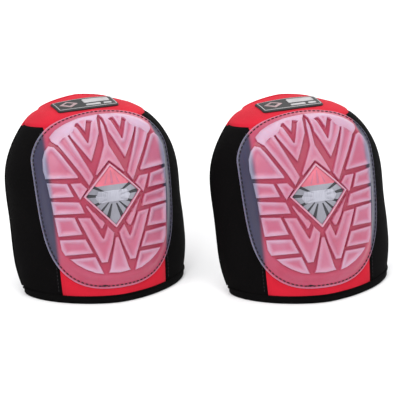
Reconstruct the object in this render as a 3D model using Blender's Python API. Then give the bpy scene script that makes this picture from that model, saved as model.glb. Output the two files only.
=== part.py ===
"""Pair of gel knee pads, standing side by side on their bottom hems.

Metres, +Z up, fronts towards -Y. Each pad is a stack of layers over one curved fabric
surface: a place on it is (s, q), where s runs from rim to rim (-1 to 1) and q from the
bottom hem to the top edge (0 to 1). Heights over the fabric are in millimetres.
"""

import math

import bmesh
import bpy
import numpy as np
from mathutils import Vector

MM = 0.001

# The pair; the shift puts the origin under the middle of the two
PAD_SPACING = 198.5
PAD_TURN = math.radians(19.6)
PAIR_SHIFT = (3.62, -5.69)

# Fabric surface: six sections from the bottom hem to the top edge
SECTIONS = np.linspace(0.0, 1.0, 6)
RIM_HALF_WIDTH = (79.5, 86.5, 86.7, 84.1, 61.5, 39.0)
RIM_DEPTH = (-16.3, -4.7, 11.6, 29.2, 46.5, 67.0)
RIM_HEIGHT = (0.0, 29.8, 71.6, 116.8, 150.5, 156.0)
CENTRE_DEPTH = (-65.6, -51.9, -38.7, -21.6, 7.4, 66.7)
CENTRE_HEIGHT = (0.0, 50.2, 98.3, 138.4, 165.4, 165.6)
ROUNDNESS = (1.67, 1.78, 1.89, 2.0, 2.05, 1.5)
UPRIGHT_BAND = 0.2
THINNING_BAND = 0.25
THINNING = 0.5

# Layers, as (outer, inner) heights over the fabric
COVER = (0.0, -1.5)
FOAM = (-3.0, -11.0)
GEL_POCKET = -9.0
GEL = (-3.0, -8.2)
LINING = (-11.4, -12.6)
CUSHION = (-14.1, -18.6)
STRAP_PATCH = (-13.7, -15.1)
BINDING = (0.8, -13.0)
HEM = (1.3, -13.0)
LABEL = (0.8, 2.0)
CAP_BASE = 0.9
CAP_FLANGE = 1.9
CAP_CROWN = 7.6
BADGE = (8.2, 9.2)

# Edges of the layers, in millimetres
HEM_HEIGHT = 6.0
HEM_CLEARANCE = 0.4
BINDING_FOOT = 8.2
SEAM_HALF_WIDTH = 56.0
SEAM_GAP = 0.3
YOKE_MIDDLE = 177.0
YOKE_RIM = 185.0
BINDING_DEPTH = (1.2, 3.4)

# Cap, badge and label, in millimetres along the fabric from the centre line and the hem
CAP_CENTRE = 145.7
CAP_HALF_WIDTH = 75.2
CAP_RISE = 49.7
CAP_DROP = 131.0
CAP_ROUNDNESS_UP = 1.71
CAP_ROUNDNESS_DOWN = 2.97
CAP_SHOULDER = 0.76
CAP_SHOULDER_WIDTH = 0.14
BADGE_CENTRE = 104.6
BADGE_HALF_WIDTH = 25.0
BADGE_HALF_HEIGHT = 29.0
LABEL_HALF_WIDTH = 31.7
LABEL_SPAN = (201.0, 229.0)

# Straps: webbing across the open back, held at the left rim and hooked at the right
STRAP_LEVELS = {"lower": 36.0, "upper": 100.0}
STRAP_HALF_WIDTH = 15.0
STRAP_THICKNESS = 1.6
STRAP_START = -72.2
PATCH_SPAN = (0.86, 1.047)
PATCH_END = 3.2
FOLD_GAP = 0.7
STRAP_HINGE = (-73.4, 4.8)
CLIP_BAR = (43.0, 8.0)
CLIP_LOOP = 3.2
CLIP_HALF_WIDTH = 18.0
CLIP_SLOT = (44.4, 48.0)
CLIP_SLOT_LENGTH = 31.4
CLIP_SLOT_DEPTH = 12.0
CLIP_THICKNESS = 2.4
CLIP_CRANK = 3.5
CLIP_WEB_RISE = 3.4
CLIP_FINGER_END = 6.2
FOLD_END = 8.0
RING_BAR = (70.0, 8.0)
RING_REACH = 12.0
RING_HALF_HEIGHT = 21.0
RING_WIRE = 1.6
RING_CORNER = 2.0
TAB_LOOP = 2.9
TAB_THICKNESS = 1.4

COLUMNS = 16
ROWS = 10


def clear_scene():
    """Remove whatever the open file already holds."""
    for old in list(bpy.data.objects):
        bpy.data.objects.remove(old, do_unlink=True)


def smooth_curve(values):
    """Natural cubic through the six sections, as a function of q."""
    step = SECTIONS[1] - SECTIONS[0]
    heights = np.array(values, dtype=float)
    count = len(heights)
    system = np.eye(count)
    load = np.zeros(count)
    for row in range(1, count - 1):
        system[row, row - 1:row + 2] = (1.0, 4.0, 1.0)
        load[row] = 6.0 * (heights[row - 1] - 2.0 * heights[row] + heights[row + 1]) / step ** 2
    bend = np.linalg.solve(system, load)

    def value(q):
        left = min(int(q / step), count - 2)
        far = q / step - left
        near = 1.0 - far
        curve = (near ** 3 - near) * bend[left] + (far ** 3 - far) * bend[left + 1]
        return near * heights[left] + far * heights[left + 1] + curve * step ** 2 / 6.0

    return value


rim_half_width = smooth_curve(RIM_HALF_WIDTH)
rim_depth = smooth_curve(RIM_DEPTH)
rim_height = smooth_curve(RIM_HEIGHT)
centre_depth = smooth_curve(CENTRE_DEPTH)
centre_height = smooth_curve(CENTRE_HEIGHT)
roundness = smooth_curve(ROUNDNESS)


def ease(t):
    """Smooth step from 0 to 1."""
    t = min(max(t, 0.0), 1.0)
    return t * t * (3.0 - 2.0 * t)


def mix(start, end, t):
    """Value a share t of the way from start to end."""
    return start + (end - start) * t


def fabric_point(s, q):
    """Point of the fabric surface."""
    power = 2.0 / roundness(q)
    angle = s * math.pi / 2.0
    across = math.copysign(abs(math.sin(angle)) ** power, s)
    forward = max(math.cos(angle), 0.0) ** power
    return Vector((rim_half_width(q) * across,
                   mix(rim_depth(q), centre_depth(q), forward),
                   mix(rim_height(q), centre_height(q), forward)))


def outward(s, q):
    """Direction of growing height, kept level near the hem so that layers end flat."""
    top = ease((q - 1.0 + THINNING_BAND) / THINNING_BAND)
    wide, tall = mix(0.02, 0.12, top), mix(0.02, 0.04, top)
    along = fabric_point(min(s + wide, 1.0), q) - fabric_point(max(s - wide, -1.0), q)
    up = fabric_point(s, min(q + tall, 1.0)) - fabric_point(s, max(q - tall, 0.0))
    normal = along.cross(up).normalized()
    normal.z *= ease(q / UPRIGHT_BAND)
    return normal.normalized()


def layer_point(s, q, height):
    """Point at a height over the fabric; what lies under it thins towards the top edge."""
    if height < 0.0:
        height *= mix(1.0, THINNING, ease((q - 1.0 + THINNING_BAND) / THINNING_BAND))
    return fabric_point(s, q) + outward(s, q) * height


def row_at_height(s, level):
    """q at which the fabric reaches a level over the floor."""
    low, high = 0.0, 1.0
    for _ in range(30):
        middle = (low + high) / 2.0
        if fabric_point(s, middle).z < level:
            low = middle
        else:
            high = middle
    return low


def lengths_along(points):
    """Running length at each of a row of points."""
    total = [0.0]
    for before, after in zip(points, points[1:]):
        total.append(total[-1] + (after - before).length)
    return total


CENTRE_STEPS = np.linspace(0.0, 1.0, 81)
CENTRE_LENGTHS = lengths_along([fabric_point(0.0, q) for q in CENTRE_STEPS])
SIDE_STEPS = np.linspace(0.0, 1.0, 33)


def row_along_centre(distance):
    """q at a distance up the centre line from the hem."""
    return float(np.interp(distance, CENTRE_LENGTHS, CENTRE_STEPS))


def column_along_row(distance, q):
    """s at a distance across the fabric from the centre line."""
    lengths = lengths_along([fabric_point(s, q) for s in SIDE_STEPS])
    return math.copysign(float(np.interp(abs(distance), lengths, SIDE_STEPS)), distance)


def place(across, up):
    """(s, q) of a point given in millimetres across and up the fabric."""
    q = row_along_centre(up)
    return column_along_row(across, q), q


# ---------------------------------------------------------------- materials and objects

def principled(name, colour, roughness, metallic=0.0):
    """Plain Principled material."""
    material = bpy.data.materials.new(name)
    material.use_nodes = True
    shader = material.node_tree.nodes["Principled BSDF"]
    shader.inputs["Base Color"].default_value = (*colour, 1.0)
    shader.inputs["Roughness"].default_value = roughness
    shader.inputs["Metallic"].default_value = metallic
    return material


LOOKS = {
    "cap": ((0.62, 0.36, 0.47), 0.35, 0.0),
    "badge": ((0.62, 0.62, 0.65), 0.3, 0.7),
    "red_fabric": ((0.72, 0.02, 0.06), 0.9, 0.0),
    "black_fabric": ((0.02, 0.02, 0.022), 0.95, 0.0),
    "label": ((0.03, 0.03, 0.035), 0.6, 0.0),
    "gel": ((0.35, 0.5, 0.75), 0.2, 0.0),
    "foam": ((0.1, 0.1, 0.11), 0.95, 0.0),
    "lining": ((0.05, 0.05, 0.055), 0.95, 0.0),
    "cushion": ((0.08, 0.08, 0.085), 0.95, 0.0),
    "webbing": ((0.03, 0.03, 0.03), 0.85, 0.0),
    "buckle": ((0.02, 0.02, 0.02), 0.4, 0.0),
}


def finish(name, mesh, look, smooth_angle=math.radians(40)):
    """Turn a bmesh into a named object with its own material, its faces outward."""
    bmesh.ops.recalc_face_normals(mesh, faces=mesh.faces)
    if mesh.calc_volume(signed=True) < 0.0:
        bmesh.ops.reverse_faces(mesh, faces=mesh.faces)
    data = bpy.data.meshes.new(name)
    mesh.to_mesh(data)
    mesh.free()
    data.shade_smooth()
    data.set_sharp_from_angle(angle=smooth_angle)
    data.materials.append(principled(name, *LOOKS[look]))
    piece = bpy.data.objects.new(name, data)
    bpy.context.collection.objects.link(piece)
    return piece


def slab(name, look, columns, rows, place_on_fabric, outer, inner, adjust=None):
    """Closed sheet over a grid. u and v run from 0 to 1; outer and inner give heights."""
    mesh = bmesh.new()
    bmesh.ops.create_grid(mesh, x_segments=columns, y_segments=rows, size=0.5)
    upper = list(mesh.verts)
    bmesh.ops.extrude_face_region(mesh, geom=mesh.faces[:])
    lower = [vert for vert in mesh.verts if vert not in set(upper)]
    for verts, height in ((upper, outer), (lower, inner)):
        for vert in verts:
            u, v = vert.co.x + 0.5, vert.co.y + 0.5
            s, q = place_on_fabric(u, v)
            rise = height(u, v) if callable(height) else height
            point = layer_point(s, q, rise)
            if adjust:
                adjust(u, point)
            vert.co = point * MM
    return finish(name, mesh, look)


def prism(name, look, outline, half_height, axis):
    """Closed prism of a flat outline along local Z, with its origin on its turning axis."""
    mesh = bmesh.new()
    corners = [mesh.verts.new(((x - axis[0]) * MM, (y - axis[1]) * MM, -half_height * MM))
               for x, y in outline]
    mesh.faces.new(corners)
    made = bmesh.ops.extrude_face_region(mesh, geom=mesh.faces[:])
    top = [item for item in made["geom"] if isinstance(item, bmesh.types.BMVert)]
    bmesh.ops.translate(mesh, verts=top, vec=(0.0, 0.0, 2.0 * half_height * MM))
    bmesh.ops.triangulate(mesh, faces=[face for face in mesh.faces if len(face.verts) > 4])
    piece = finish(name, mesh, look)
    piece.location = (axis[0] * MM, axis[1] * MM, 0.0)
    return piece


def arc(centre, radius, start, end, steps):
    """Points of an arc, angles in degrees."""
    angles = np.radians(np.linspace(start, end, steps))
    return [(centre[0] + radius * math.cos(a), centre[1] + radius * math.sin(a)) for a in angles]


def ribbon(path, thickness):
    """Outline of a ribbon of even thickness along a path."""
    left, right = [], []
    for index, point in enumerate(path):
        before = Vector(path[max(index - 1, 0)])
        after = Vector(path[min(index + 1, len(path) - 1)])
        along = (after - before).normalized()
        side = Vector((-along.y, along.x)) * thickness / 2.0
        left.append(tuple(Vector(point) + side))
        right.append(tuple(Vector(point) - side))
    return left + right[::-1]


# ---------------------------------------------------------------- pieces of one pad

def whole_width(u, v):
    """All of the fabric above the hem, rim to rim."""
    s = mix(-1.0, 1.0, u)
    return s, mix(row_at_height(s, HEM_HEIGHT + HEM_CLEARANCE), 1.0, v)


def shell_cell(u, v):
    """Grid cell of the full-width layers in which a point lies."""
    return round(u * COLUMNS), round(v * ROWS)


POCKET_COLUMNS = (5, 11)
POCKET_ROWS = (2, 7)


def in_pocket(u, v):
    """Whether a grid corner lies on the floor of the gel pocket."""
    column, row = shell_cell(u, v)
    return (POCKET_COLUMNS[0] <= column <= POCKET_COLUMNS[1]
            and POCKET_ROWS[0] <= row <= POCKET_ROWS[1])


def foam_outer(u, v):
    """Outer height of the foam, sunk where the gel lies."""
    return GEL_POCKET if in_pocket(u, v) else FOAM[0]


def gel_place(u, v):
    """The pocket floor, where the gel lies."""
    column = mix(POCKET_COLUMNS[0], POCKET_COLUMNS[1], u) / COLUMNS
    row = mix(POCKET_ROWS[0], POCKET_ROWS[1], v) / ROWS
    return whole_width(column, row)


def cap_place(u, v):
    """Square grid laid over the rounded outline of the cap."""
    x, y = mix(-1.0, 1.0, u), mix(-1.0, 1.0, v)
    round_x = x * math.sqrt(1.0 - y * y / 2.0)
    round_y = y * math.sqrt(1.0 - x * x / 2.0)
    power = CAP_ROUNDNESS_UP if round_y > 0.0 else CAP_ROUNDNESS_DOWN
    radius = math.hypot(round_x, round_y)
    stretch = 1.0
    if radius > 0.0:
        share_x, share_y = abs(round_x) / radius, abs(round_y) / radius
        stretch = (share_x ** power + share_y ** power) ** (-1.0 / power)
    reach = CAP_RISE if round_y > 0.0 else CAP_DROP
    return place(CAP_HALF_WIDTH * round_x * stretch, CAP_CENTRE + reach * round_y * stretch)


def cap_outer(u, v):
    """Flange round the edge, treads inside it."""
    edge = max(abs(mix(-1.0, 1.0, u)), abs(mix(-1.0, 1.0, v)))
    return mix(CAP_CROWN, CAP_FLANGE, ease((edge - CAP_SHOULDER) / CAP_SHOULDER_WIDTH))


def badge_place(u, v):
    """Diamond on the middle of the cap."""
    x, y = mix(-0.5, 0.5, u), mix(-0.5, 0.5, v)
    return place((x - y) * BADGE_HALF_WIDTH, BADGE_CENTRE + (x + y) * BADGE_HALF_HEIGHT)


def label_place(u, v):
    """Strip at the middle of the top edge."""
    return place(mix(-LABEL_HALF_WIDTH, LABEL_HALF_WIDTH, u), mix(*LABEL_SPAN, v))


def yoke_row(s, side):
    """q of the yoke seam, a little higher at the rims; side is +1 above it and -1 below."""
    rise = mix(YOKE_MIDDLE, YOKE_RIM, s * s)
    return row_along_centre(rise + side * SEAM_GAP / 2.0)


def above_hem(s, q):
    """The same place, lifted off the hem if it lies lower."""
    return s, max(q, row_at_height(s, HEM_HEIGHT + HEM_CLEARANCE))


def yoke_place(u, v):
    """Panel over the thigh, from rim to rim above the yoke seam."""
    s = mix(-1.0, 1.0, u)
    return s, mix(yoke_row(s, 1.0), 1.0, v)


def centre_panel_place(u, v):
    """Panel down the front, from the yoke seam to the hem."""
    side = mix(-1.0, 1.0, u)
    seam = column_along_row(SEAM_HALF_WIDTH, row_along_centre(YOKE_MIDDLE * v))
    return above_hem(side * seam, yoke_row(side * seam, -1.0) * v)


def side_panel_place(hand):
    """Panel between the centre panel and one rim, below the yoke seam."""
    def where(u, v):
        seam = column_along_row(SEAM_HALF_WIDTH + SEAM_GAP, row_along_centre(YOKE_MIDDLE * v))
        s = hand * mix(seam, 1.0, u)
        return above_hem(s, yoke_row(s, -1.0) * v)
    return where


def cushion_place(s_span, q_span):
    """Patch of the lining covered by one comfort cushion."""
    def where(u, v):
        return mix(*s_span, u), mix(*q_span, v)
    return where


def cushion_inner(u, v):
    """Cushions swell towards the knee in their middle."""
    return mix(CUSHION[0] - 1.4, CUSHION[1], math.sqrt(math.sin(math.pi * u) * math.sin(math.pi * v)))


CUSHIONS = {
    "thigh_cushion": ((-0.6, 0.6), (0.7, 0.91)),
    "shin_cushion": ((-0.36, 0.36), (0.08, 0.36)),
    "outer_side_cushion": ((-0.82, -0.42), (0.12, 0.66)),
    "inner_side_cushion": ((0.42, 0.82), (0.12, 0.66)),
}


def rim_path():
    """(s, q) round the open edge, from the right foot over the top to the left foot."""
    foot = row_at_height(1.0, BINDING_FOOT)
    side = [(1.0, foot)] + [whole_width(1.0, row / ROWS) for row in range(1, ROWS + 1)]
    top = [(mix(1.0, -1.0, column / COLUMNS), 1.0) for column in range(1, COLUMNS)]
    return side + top + [(-1.0, q) for _, q in side[::-1]]


def loft(name, look, rings):
    """Closed bar through a row of cross-sections."""
    mesh = bmesh.new()
    rows = [[mesh.verts.new(point * MM) for point in ring] for ring in rings]
    for before, after in zip(rows, rows[1:]):
        for index in range(len(before)):
            following = (index + 1) % len(before)
            mesh.faces.new((before[index], before[following], after[following], after[index]))
    mesh.faces.new(rows[0][::-1])
    mesh.faces.new(rows[-1])
    return finish(name, mesh, look)


def edge_binding(name):
    """Tape wrapped over the layers' edges along the rims and the top."""
    path = rim_path()
    points = [fabric_point(s, q) for s, q in path]
    rings = []
    for index, (s, q) in enumerate(path):
        before = points[index] - points[max(index - 1, 0)]
        after = points[min(index + 1, len(points) - 1)] - points[index]
        normal = outward(s, q)
        beyond = (before.normalized() + after.normalized()).cross(normal).normalized()
        turn = before.angle(after) if min(before.length, after.length) > 0.0 else 0.0
        near, far = (depth / max(math.cos(turn / 2.0), 0.5) for depth in BINDING_DEPTH)
        corners = ((near, BINDING[0]), (far - 0.8, BINDING[0]), (far, BINDING[0] - 1.2),
                   (far, BINDING[1] + 1.2), (far - 0.8, BINDING[1]), (near, BINDING[1]))
        rings.append([layer_point(s, q, height) + beyond * out for out, height in corners])
    return loft(name, "black_fabric", rings)


def bottom_hem(name):
    """Rolled hem under the layers, with the flat underside that the pad stands on."""
    rings = []
    across = np.linspace(-1.0, 1.0, COLUMNS * 2 + 1)
    for s in (-1.0, *across, 1.0):
        normal = outward(s, 0.0)
        foot = fabric_point(s, 0.0)
        if len(rings) in (0, len(across) + 1):
            foot.y += BINDING_DEPTH[1]
        corners = ((HEM[0] - 1.2, 0.0), (HEM[0], 1.2), (HEM[0], HEM_HEIGHT - 1.2),
                   (HEM[0] - 1.2, HEM_HEIGHT), (HEM[1] + 1.0, HEM_HEIGHT), (HEM[1], HEM_HEIGHT - 1.0),
                   (HEM[1], 1.0), (HEM[1] + 1.0, 0.0))
        rings.append([foot + normal * out + Vector((0.0, 0.0, rise)) for out, rise in corners])
    return loft(name, "black_fabric", rings)


def body_pieces(prefix):
    """Everything that is sewn or bonded together."""
    cover = dict(outer=COVER[0], inner=COVER[1])
    pieces = [
        slab(prefix + "tread_cap", "cap", 10, 10, cap_place, cap_outer, CAP_BASE),
        slab(prefix + "badge_plate", "badge", 6, 6, badge_place, BADGE[1], BADGE[0]),
        slab(prefix + "thigh_panel", "red_fabric", COLUMNS, 4, yoke_place, **cover),
        slab(prefix + "center_panel", "red_fabric", 10, 8, centre_panel_place, **cover),
        slab(prefix + "outer_side_panel", "black_fabric", 4, 8, side_panel_place(-1.0), **cover),
        slab(prefix + "inner_side_panel", "black_fabric", 4, 8, side_panel_place(1.0), **cover),
        slab(prefix + "top_label", "label", 6, 2, label_place, LABEL[1], LABEL[0]),
        slab(prefix + "gel_core", "gel", 6, 5, gel_place, *GEL),
        slab(prefix + "foam_shell", "foam", COLUMNS, ROWS, whole_width, foam_outer, FOAM[1]),
        slab(prefix + "lining", "lining", COLUMNS, ROWS, whole_width, *LINING),
        edge_binding(prefix + "edge_binding"),
        bottom_hem(prefix + "bottom_hem"),
    ]
    for label, spans in CUSHIONS.items():
        pieces.append(slab(prefix + label, "cushion", 4, 4, cushion_place(*spans),
                           CUSHION[0], cushion_inner))
    return pieces


def strap_plane(level):
    """Depth of the upright plane that a strap's parts are measured from, just behind the rim."""
    return fabric_point(1.0, row_at_height(1.0, level + RING_HALF_HEIGHT)).y


def strap_patch(name, hand, level):
    """Webbing sewn inside one rim, where a strap or a ring tab starts behind the pad."""
    def where(u, v):
        height = mix(level - STRAP_HALF_WIDTH, level + STRAP_HALF_WIDTH, v)
        return hand * min(mix(*PATCH_SPAN, u), 1.0), row_at_height(1.0, height)

    def draw_back(u, point):
        if u > 0.99:
            point.y = strap_plane(level) + PATCH_END

    return slab(name, "webbing", 4, 3, where, *STRAP_PATCH, draw_back)


def strap_outline():
    """Webbing from the rim to the clip's bar, round the bar and back on itself."""
    back = CLIP_BAR[1] + CLIP_LOOP
    lying = STRAP_HINGE[1] + STRAP_THICKNESS + FOLD_GAP
    path = [(STRAP_START, STRAP_HINGE[1]), (-30.0, STRAP_HINGE[1]), (10.0, STRAP_HINGE[1])]
    path += arc(CLIP_BAR, CLIP_LOOP, -90, 90, 9)
    path += [(CLIP_BAR[0] - 4.0, back), (CLIP_BAR[0] - 15.0, lying), (FOLD_END, lying)]
    return ribbon(path, STRAP_THICKNESS)


def hook_outline():
    """Bar, cranked web and turned-down finger of the clip."""
    web = CLIP_BAR[1] + CLIP_WEB_RISE
    crank = CLIP_BAR[0] + CLIP_CRANK
    finger = RING_BAR[0] - RING_REACH + 3.6
    path = [(CLIP_BAR[0] - 1.4, CLIP_BAR[1]), (crank, CLIP_BAR[1]), (crank + 2.0, CLIP_BAR[1] + 0.6),
            (crank + 4.0, web), (finger - 1.6, web), (finger, web - 1.4), (finger, CLIP_FINGER_END)]
    return ribbon(path, CLIP_THICKNESS)


def slot_cutter(name):
    """Box that cuts the webbing slot of a clip."""
    mesh = bmesh.new()
    bmesh.ops.create_cube(mesh, size=1.0)
    width = (CLIP_SLOT[1] - CLIP_SLOT[0]) * MM
    bmesh.ops.scale(mesh, verts=mesh.verts, vec=(width, CLIP_SLOT_DEPTH * MM, CLIP_SLOT_LENGTH * MM))
    cutter = finish(name, mesh, "buckle")
    cutter.location = (sum(CLIP_SLOT) / 2.0 * MM, CLIP_BAR[1] * MM, 0.0)
    cutter.hide_render = True
    cutter.display_type = "WIRE"
    return cutter


def hook_clip(name):
    """Clip on the strap's end, open towards the pad, and the box that cuts its slot."""
    clip = prism(name, "buckle", hook_outline(), CLIP_HALF_WIDTH, CLIP_BAR)
    cutter = slot_cutter(name + "_slot")
    cut = clip.modifiers.new("slot", "BOOLEAN")
    cut.object = cutter
    return clip, cutter


def tab_outline():
    """Webbing loop that holds the ring at the rim."""
    path = [(74.3, 4.3), (73.6, 6.0)]
    path += arc(RING_BAR, TAB_LOOP, 10, 215, 10)
    path += [(70.6, 4.3)]
    return ribbon(path, TAB_THICKNESS)


def ring(name):
    """Rectangular wire ring, its origin on the bar that the tab holds."""
    far = -RING_REACH
    corners = []
    for x, z in ((0.0, -RING_HALF_HEIGHT), (0.0, RING_HALF_HEIGHT),
                 (far, RING_HALF_HEIGHT), (far, -RING_HALF_HEIGHT)):
        inward_x = -RING_CORNER if x == 0.0 else RING_CORNER
        inward_z = math.copysign(RING_CORNER, -z)
        ends = [(x, z + inward_z), (x + inward_x, z)]
        corners += ends if (x == 0.0) == (z > 0.0) else ends[::-1]
    wire = bpy.data.curves.new(name, "CURVE")
    wire.dimensions = "3D"
    wire.bevel_depth = RING_WIRE * MM
    wire.bevel_resolution = 2
    spline = wire.splines.new("POLY")
    spline.points.add(len(corners) - 1)
    for point, (x, z) in zip(spline.points, corners):
        point.co = (x * MM, 0.0, z * MM, 1.0)
    spline.use_cyclic_u = True
    wire.materials.append(principled(name, *LOOKS["buckle"]))
    piece = bpy.data.objects.new(name, wire)
    bpy.context.collection.objects.link(piece)
    piece.location = (RING_BAR[0] * MM, RING_BAR[1] * MM, 0.0)
    return piece


def strap_pieces(prefix):
    """Strap, clip, tab and ring of one level."""
    strap = prism(prefix + "strap", "webbing", strap_outline(), STRAP_HALF_WIDTH, STRAP_HINGE)
    clip, cutter = hook_clip(prefix + "strap_clip")
    tab = prism(prefix + "ring_tab", "webbing", tab_outline(), STRAP_HALF_WIDTH, RING_BAR)
    return [strap, clip, cutter, tab, ring(prefix + "strap_ring")]


def hold(pieces, empty):
    """Parent pieces to an empty, so that they move with it."""
    for piece in pieces:
        piece.parent = empty


def empty_at(name, location, turn=0.0):
    """Empty that carries a group of pieces."""
    empty = bpy.data.objects.new(name, None)
    bpy.context.collection.objects.link(empty)
    empty.location = location
    empty.rotation_euler.z = turn
    return empty


def knee_pad(prefix, x):
    """One complete pad."""
    place_on_floor = ((x + PAIR_SHIFT[0]) * MM, PAIR_SHIFT[1] * MM, 0.0)
    pad = empty_at(prefix + "pad_place", place_on_floor, PAD_TURN)
    hold(body_pieces(prefix), pad)
    for label, level in STRAP_LEVELS.items():
        group = prefix + label + "_"
        hold([strap_patch(group + "strap_patch", -1.0, level),
              strap_patch(group + "ring_patch", 1.0, level)], pad)
        plane = empty_at(group + "strap_place", (0.0, strap_plane(level) * MM, level * MM))
        plane.parent = pad
        hold(strap_pieces(group), plane)


def main():
    """Model both pads."""
    clear_scene()
    for hand, prefix in ((-0.5, "left_"), (0.5, "right_")):
        knee_pad(prefix, hand * PAD_SPACING)


main()
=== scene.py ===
"""Pair of gel knee pads: the visible pieces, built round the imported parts.

Every pad is laid out over one curved fabric surface. A place on it is (s, q), from rim to rim
(-1 to 1) and from hem to top edge (0 to 1), or millimetres across and up from the middle of the
hem. Heights over the fabric are in millimetres too.
"""

import math

import bpy
import numpy as np
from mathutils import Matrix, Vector
from mathutils.geometry import delaunay_2d_cdt


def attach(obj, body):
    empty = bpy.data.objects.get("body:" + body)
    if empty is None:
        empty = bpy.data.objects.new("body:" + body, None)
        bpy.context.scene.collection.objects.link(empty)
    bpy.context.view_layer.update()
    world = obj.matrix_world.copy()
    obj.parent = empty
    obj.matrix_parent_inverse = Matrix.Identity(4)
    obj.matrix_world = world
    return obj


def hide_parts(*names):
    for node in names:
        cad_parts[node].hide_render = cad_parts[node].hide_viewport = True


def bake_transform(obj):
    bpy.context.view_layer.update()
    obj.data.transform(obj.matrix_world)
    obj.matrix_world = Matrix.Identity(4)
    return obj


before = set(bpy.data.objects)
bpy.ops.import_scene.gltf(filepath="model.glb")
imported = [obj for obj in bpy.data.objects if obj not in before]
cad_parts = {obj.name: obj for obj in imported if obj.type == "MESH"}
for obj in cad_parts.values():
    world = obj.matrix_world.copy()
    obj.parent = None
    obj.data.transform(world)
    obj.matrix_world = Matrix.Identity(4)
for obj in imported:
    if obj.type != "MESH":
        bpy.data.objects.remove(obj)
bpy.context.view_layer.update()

bl_info = {
    "name": "Gel knee pads",
    "version": (1, 0, 0),
    "blender": (4, 5, 0),
    "location": "3D View > Sidebar > Knee pads",
    "description": "Builds a pair of gel knee pads with treaded caps, fabric covers and straps",
    "category": "Object",
}

MM = 0.001

# The pair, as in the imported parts
PAD_SPACING = 198.5
PAD_TURN = math.radians(19.6)
PAIR_SHIFT = (3.62, -5.69)
PADS = (("left_", "left_pad", -0.5), ("right_", "right_pad", 0.5))

# Fabric surface: six sections from the bottom hem to the top edge
RIM_HALF_WIDTH = (79.5, 86.5, 86.7, 84.1, 61.5, 39.0)
RIM_DEPTH = (-16.3, -4.7, 11.6, 29.2, 46.5, 67.0)
RIM_HEIGHT = (0.0, 29.8, 71.6, 116.8, 150.5, 156.0)
CENTRE_DEPTH = (-65.6, -51.9, -38.7, -21.6, 7.4, 66.7)
CENTRE_HEIGHT = (0.0, 50.2, 98.3, 138.4, 165.4, 165.6)
ROUNDNESS = (1.67, 1.78, 1.89, 2.0, 2.05, 1.5)
UPRIGHT_BAND = 0.2
THINNING_BAND = 0.25
THINNING = 0.5

# Seams, in millimetres
HEM_TOP = 6.4
SEAM_HALF_WIDTH = 56.0
SEAM_GAP = 0.3
YOKE_DEPTH = 60.0
SEAM_DEPTH = 1.2
SEAM_REACH = 5.0
CLOTH_THICKNESS = 1.2
COVER_STITCH_INSET = 3.4
COVER_STITCH_PITCH = 3.6
YOKE_MIDDLE = 178.0
YOKE_RIM = 188.0

# Cap: outline, and heights over the fabric
CAP_CENTRE = 145.7
CAP_HALF_WIDTH = 73.6
CAP_RISE = 49.7
CAP_DROP = 131.0
CAP_ROUNDNESS = (1.71, 2.97)
CAP_BASE = 0.4
FLANGE_HEIGHT = 1.9
FLANGE_WIDTH = 4.2
FLANGE_SLOPE = 9.0
EDGE_DROP = 0.8
EDGE_ROUND = 1.2
STITCH_INSET = 2.7
STITCH_DIP = 0.45
CROWN_START = 0.55
WALL = 1.0
RIM = 2.3
PANE_SLOPE = 3.6
PANE_DIP = 0.5
KEEL_PANE = 0.6
FRAME_RISE = 0.9
PLATE_LEDGE = 0.9
OVER_BLACK_BLUR = 5.0
DIAMOND = ((0.0, 136.0), (28.0, 107.3), (0.0, 73.4), (-28.0, 107.3))
PLATE = ((0.0, 132.4), (25.0, 107.1), (0.0, 77.2), (-25.0, 107.1))

# Tread field and its blocks, right half only, in millimetres across and up
TREAD_FIELD = ((0.0, 29.0), (12.0, 29.4), (22.0, 31.4), (32.0, 36.2), (39.5, 42.0), (45.6, 48.6),
               (49.8, 52.5), (53.0, 60.0), (54.4, 70.0), (57.0, 90.0), (59.0, 108.0), (61.0, 124.0),
               (62.6, 136.0), (61.8, 147.0), (58.0, 155.0), (53.0, 159.6), (51.0, 166.0),
               (44.0, 172.5), (34.0, 177.5), (20.0, 182.0), (0.0, 183.5))
TOP_BAND = ((0.0, 183.3), (20.0, 181.8), (34.0, 177.4), (44.0, 172.3), (51.0, 166.0), (49.6, 160.6),
            (44.5, 156.6), (38.0, 162.0), (32.0, 164.5), (27.0, 167.5), (23.4, 174.4),
            (17.0, 177.0), (10.4, 176.2), (6.0, 174.0), (1.4, 178.5), (0.0, 181.5))
KEEL_BLOCKS = (
    ((0.0, 180.5), (2.2, 170.0), (2.8, 152.5), (14.6, 126.6), (13.0, 124.6), (0.0, 137.4)),
    ((0.0, 65.8), (1.9, 64.4), (9.2, 35.0), (11.2, 31.2), (0.0, 30.0)),
)
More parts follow.
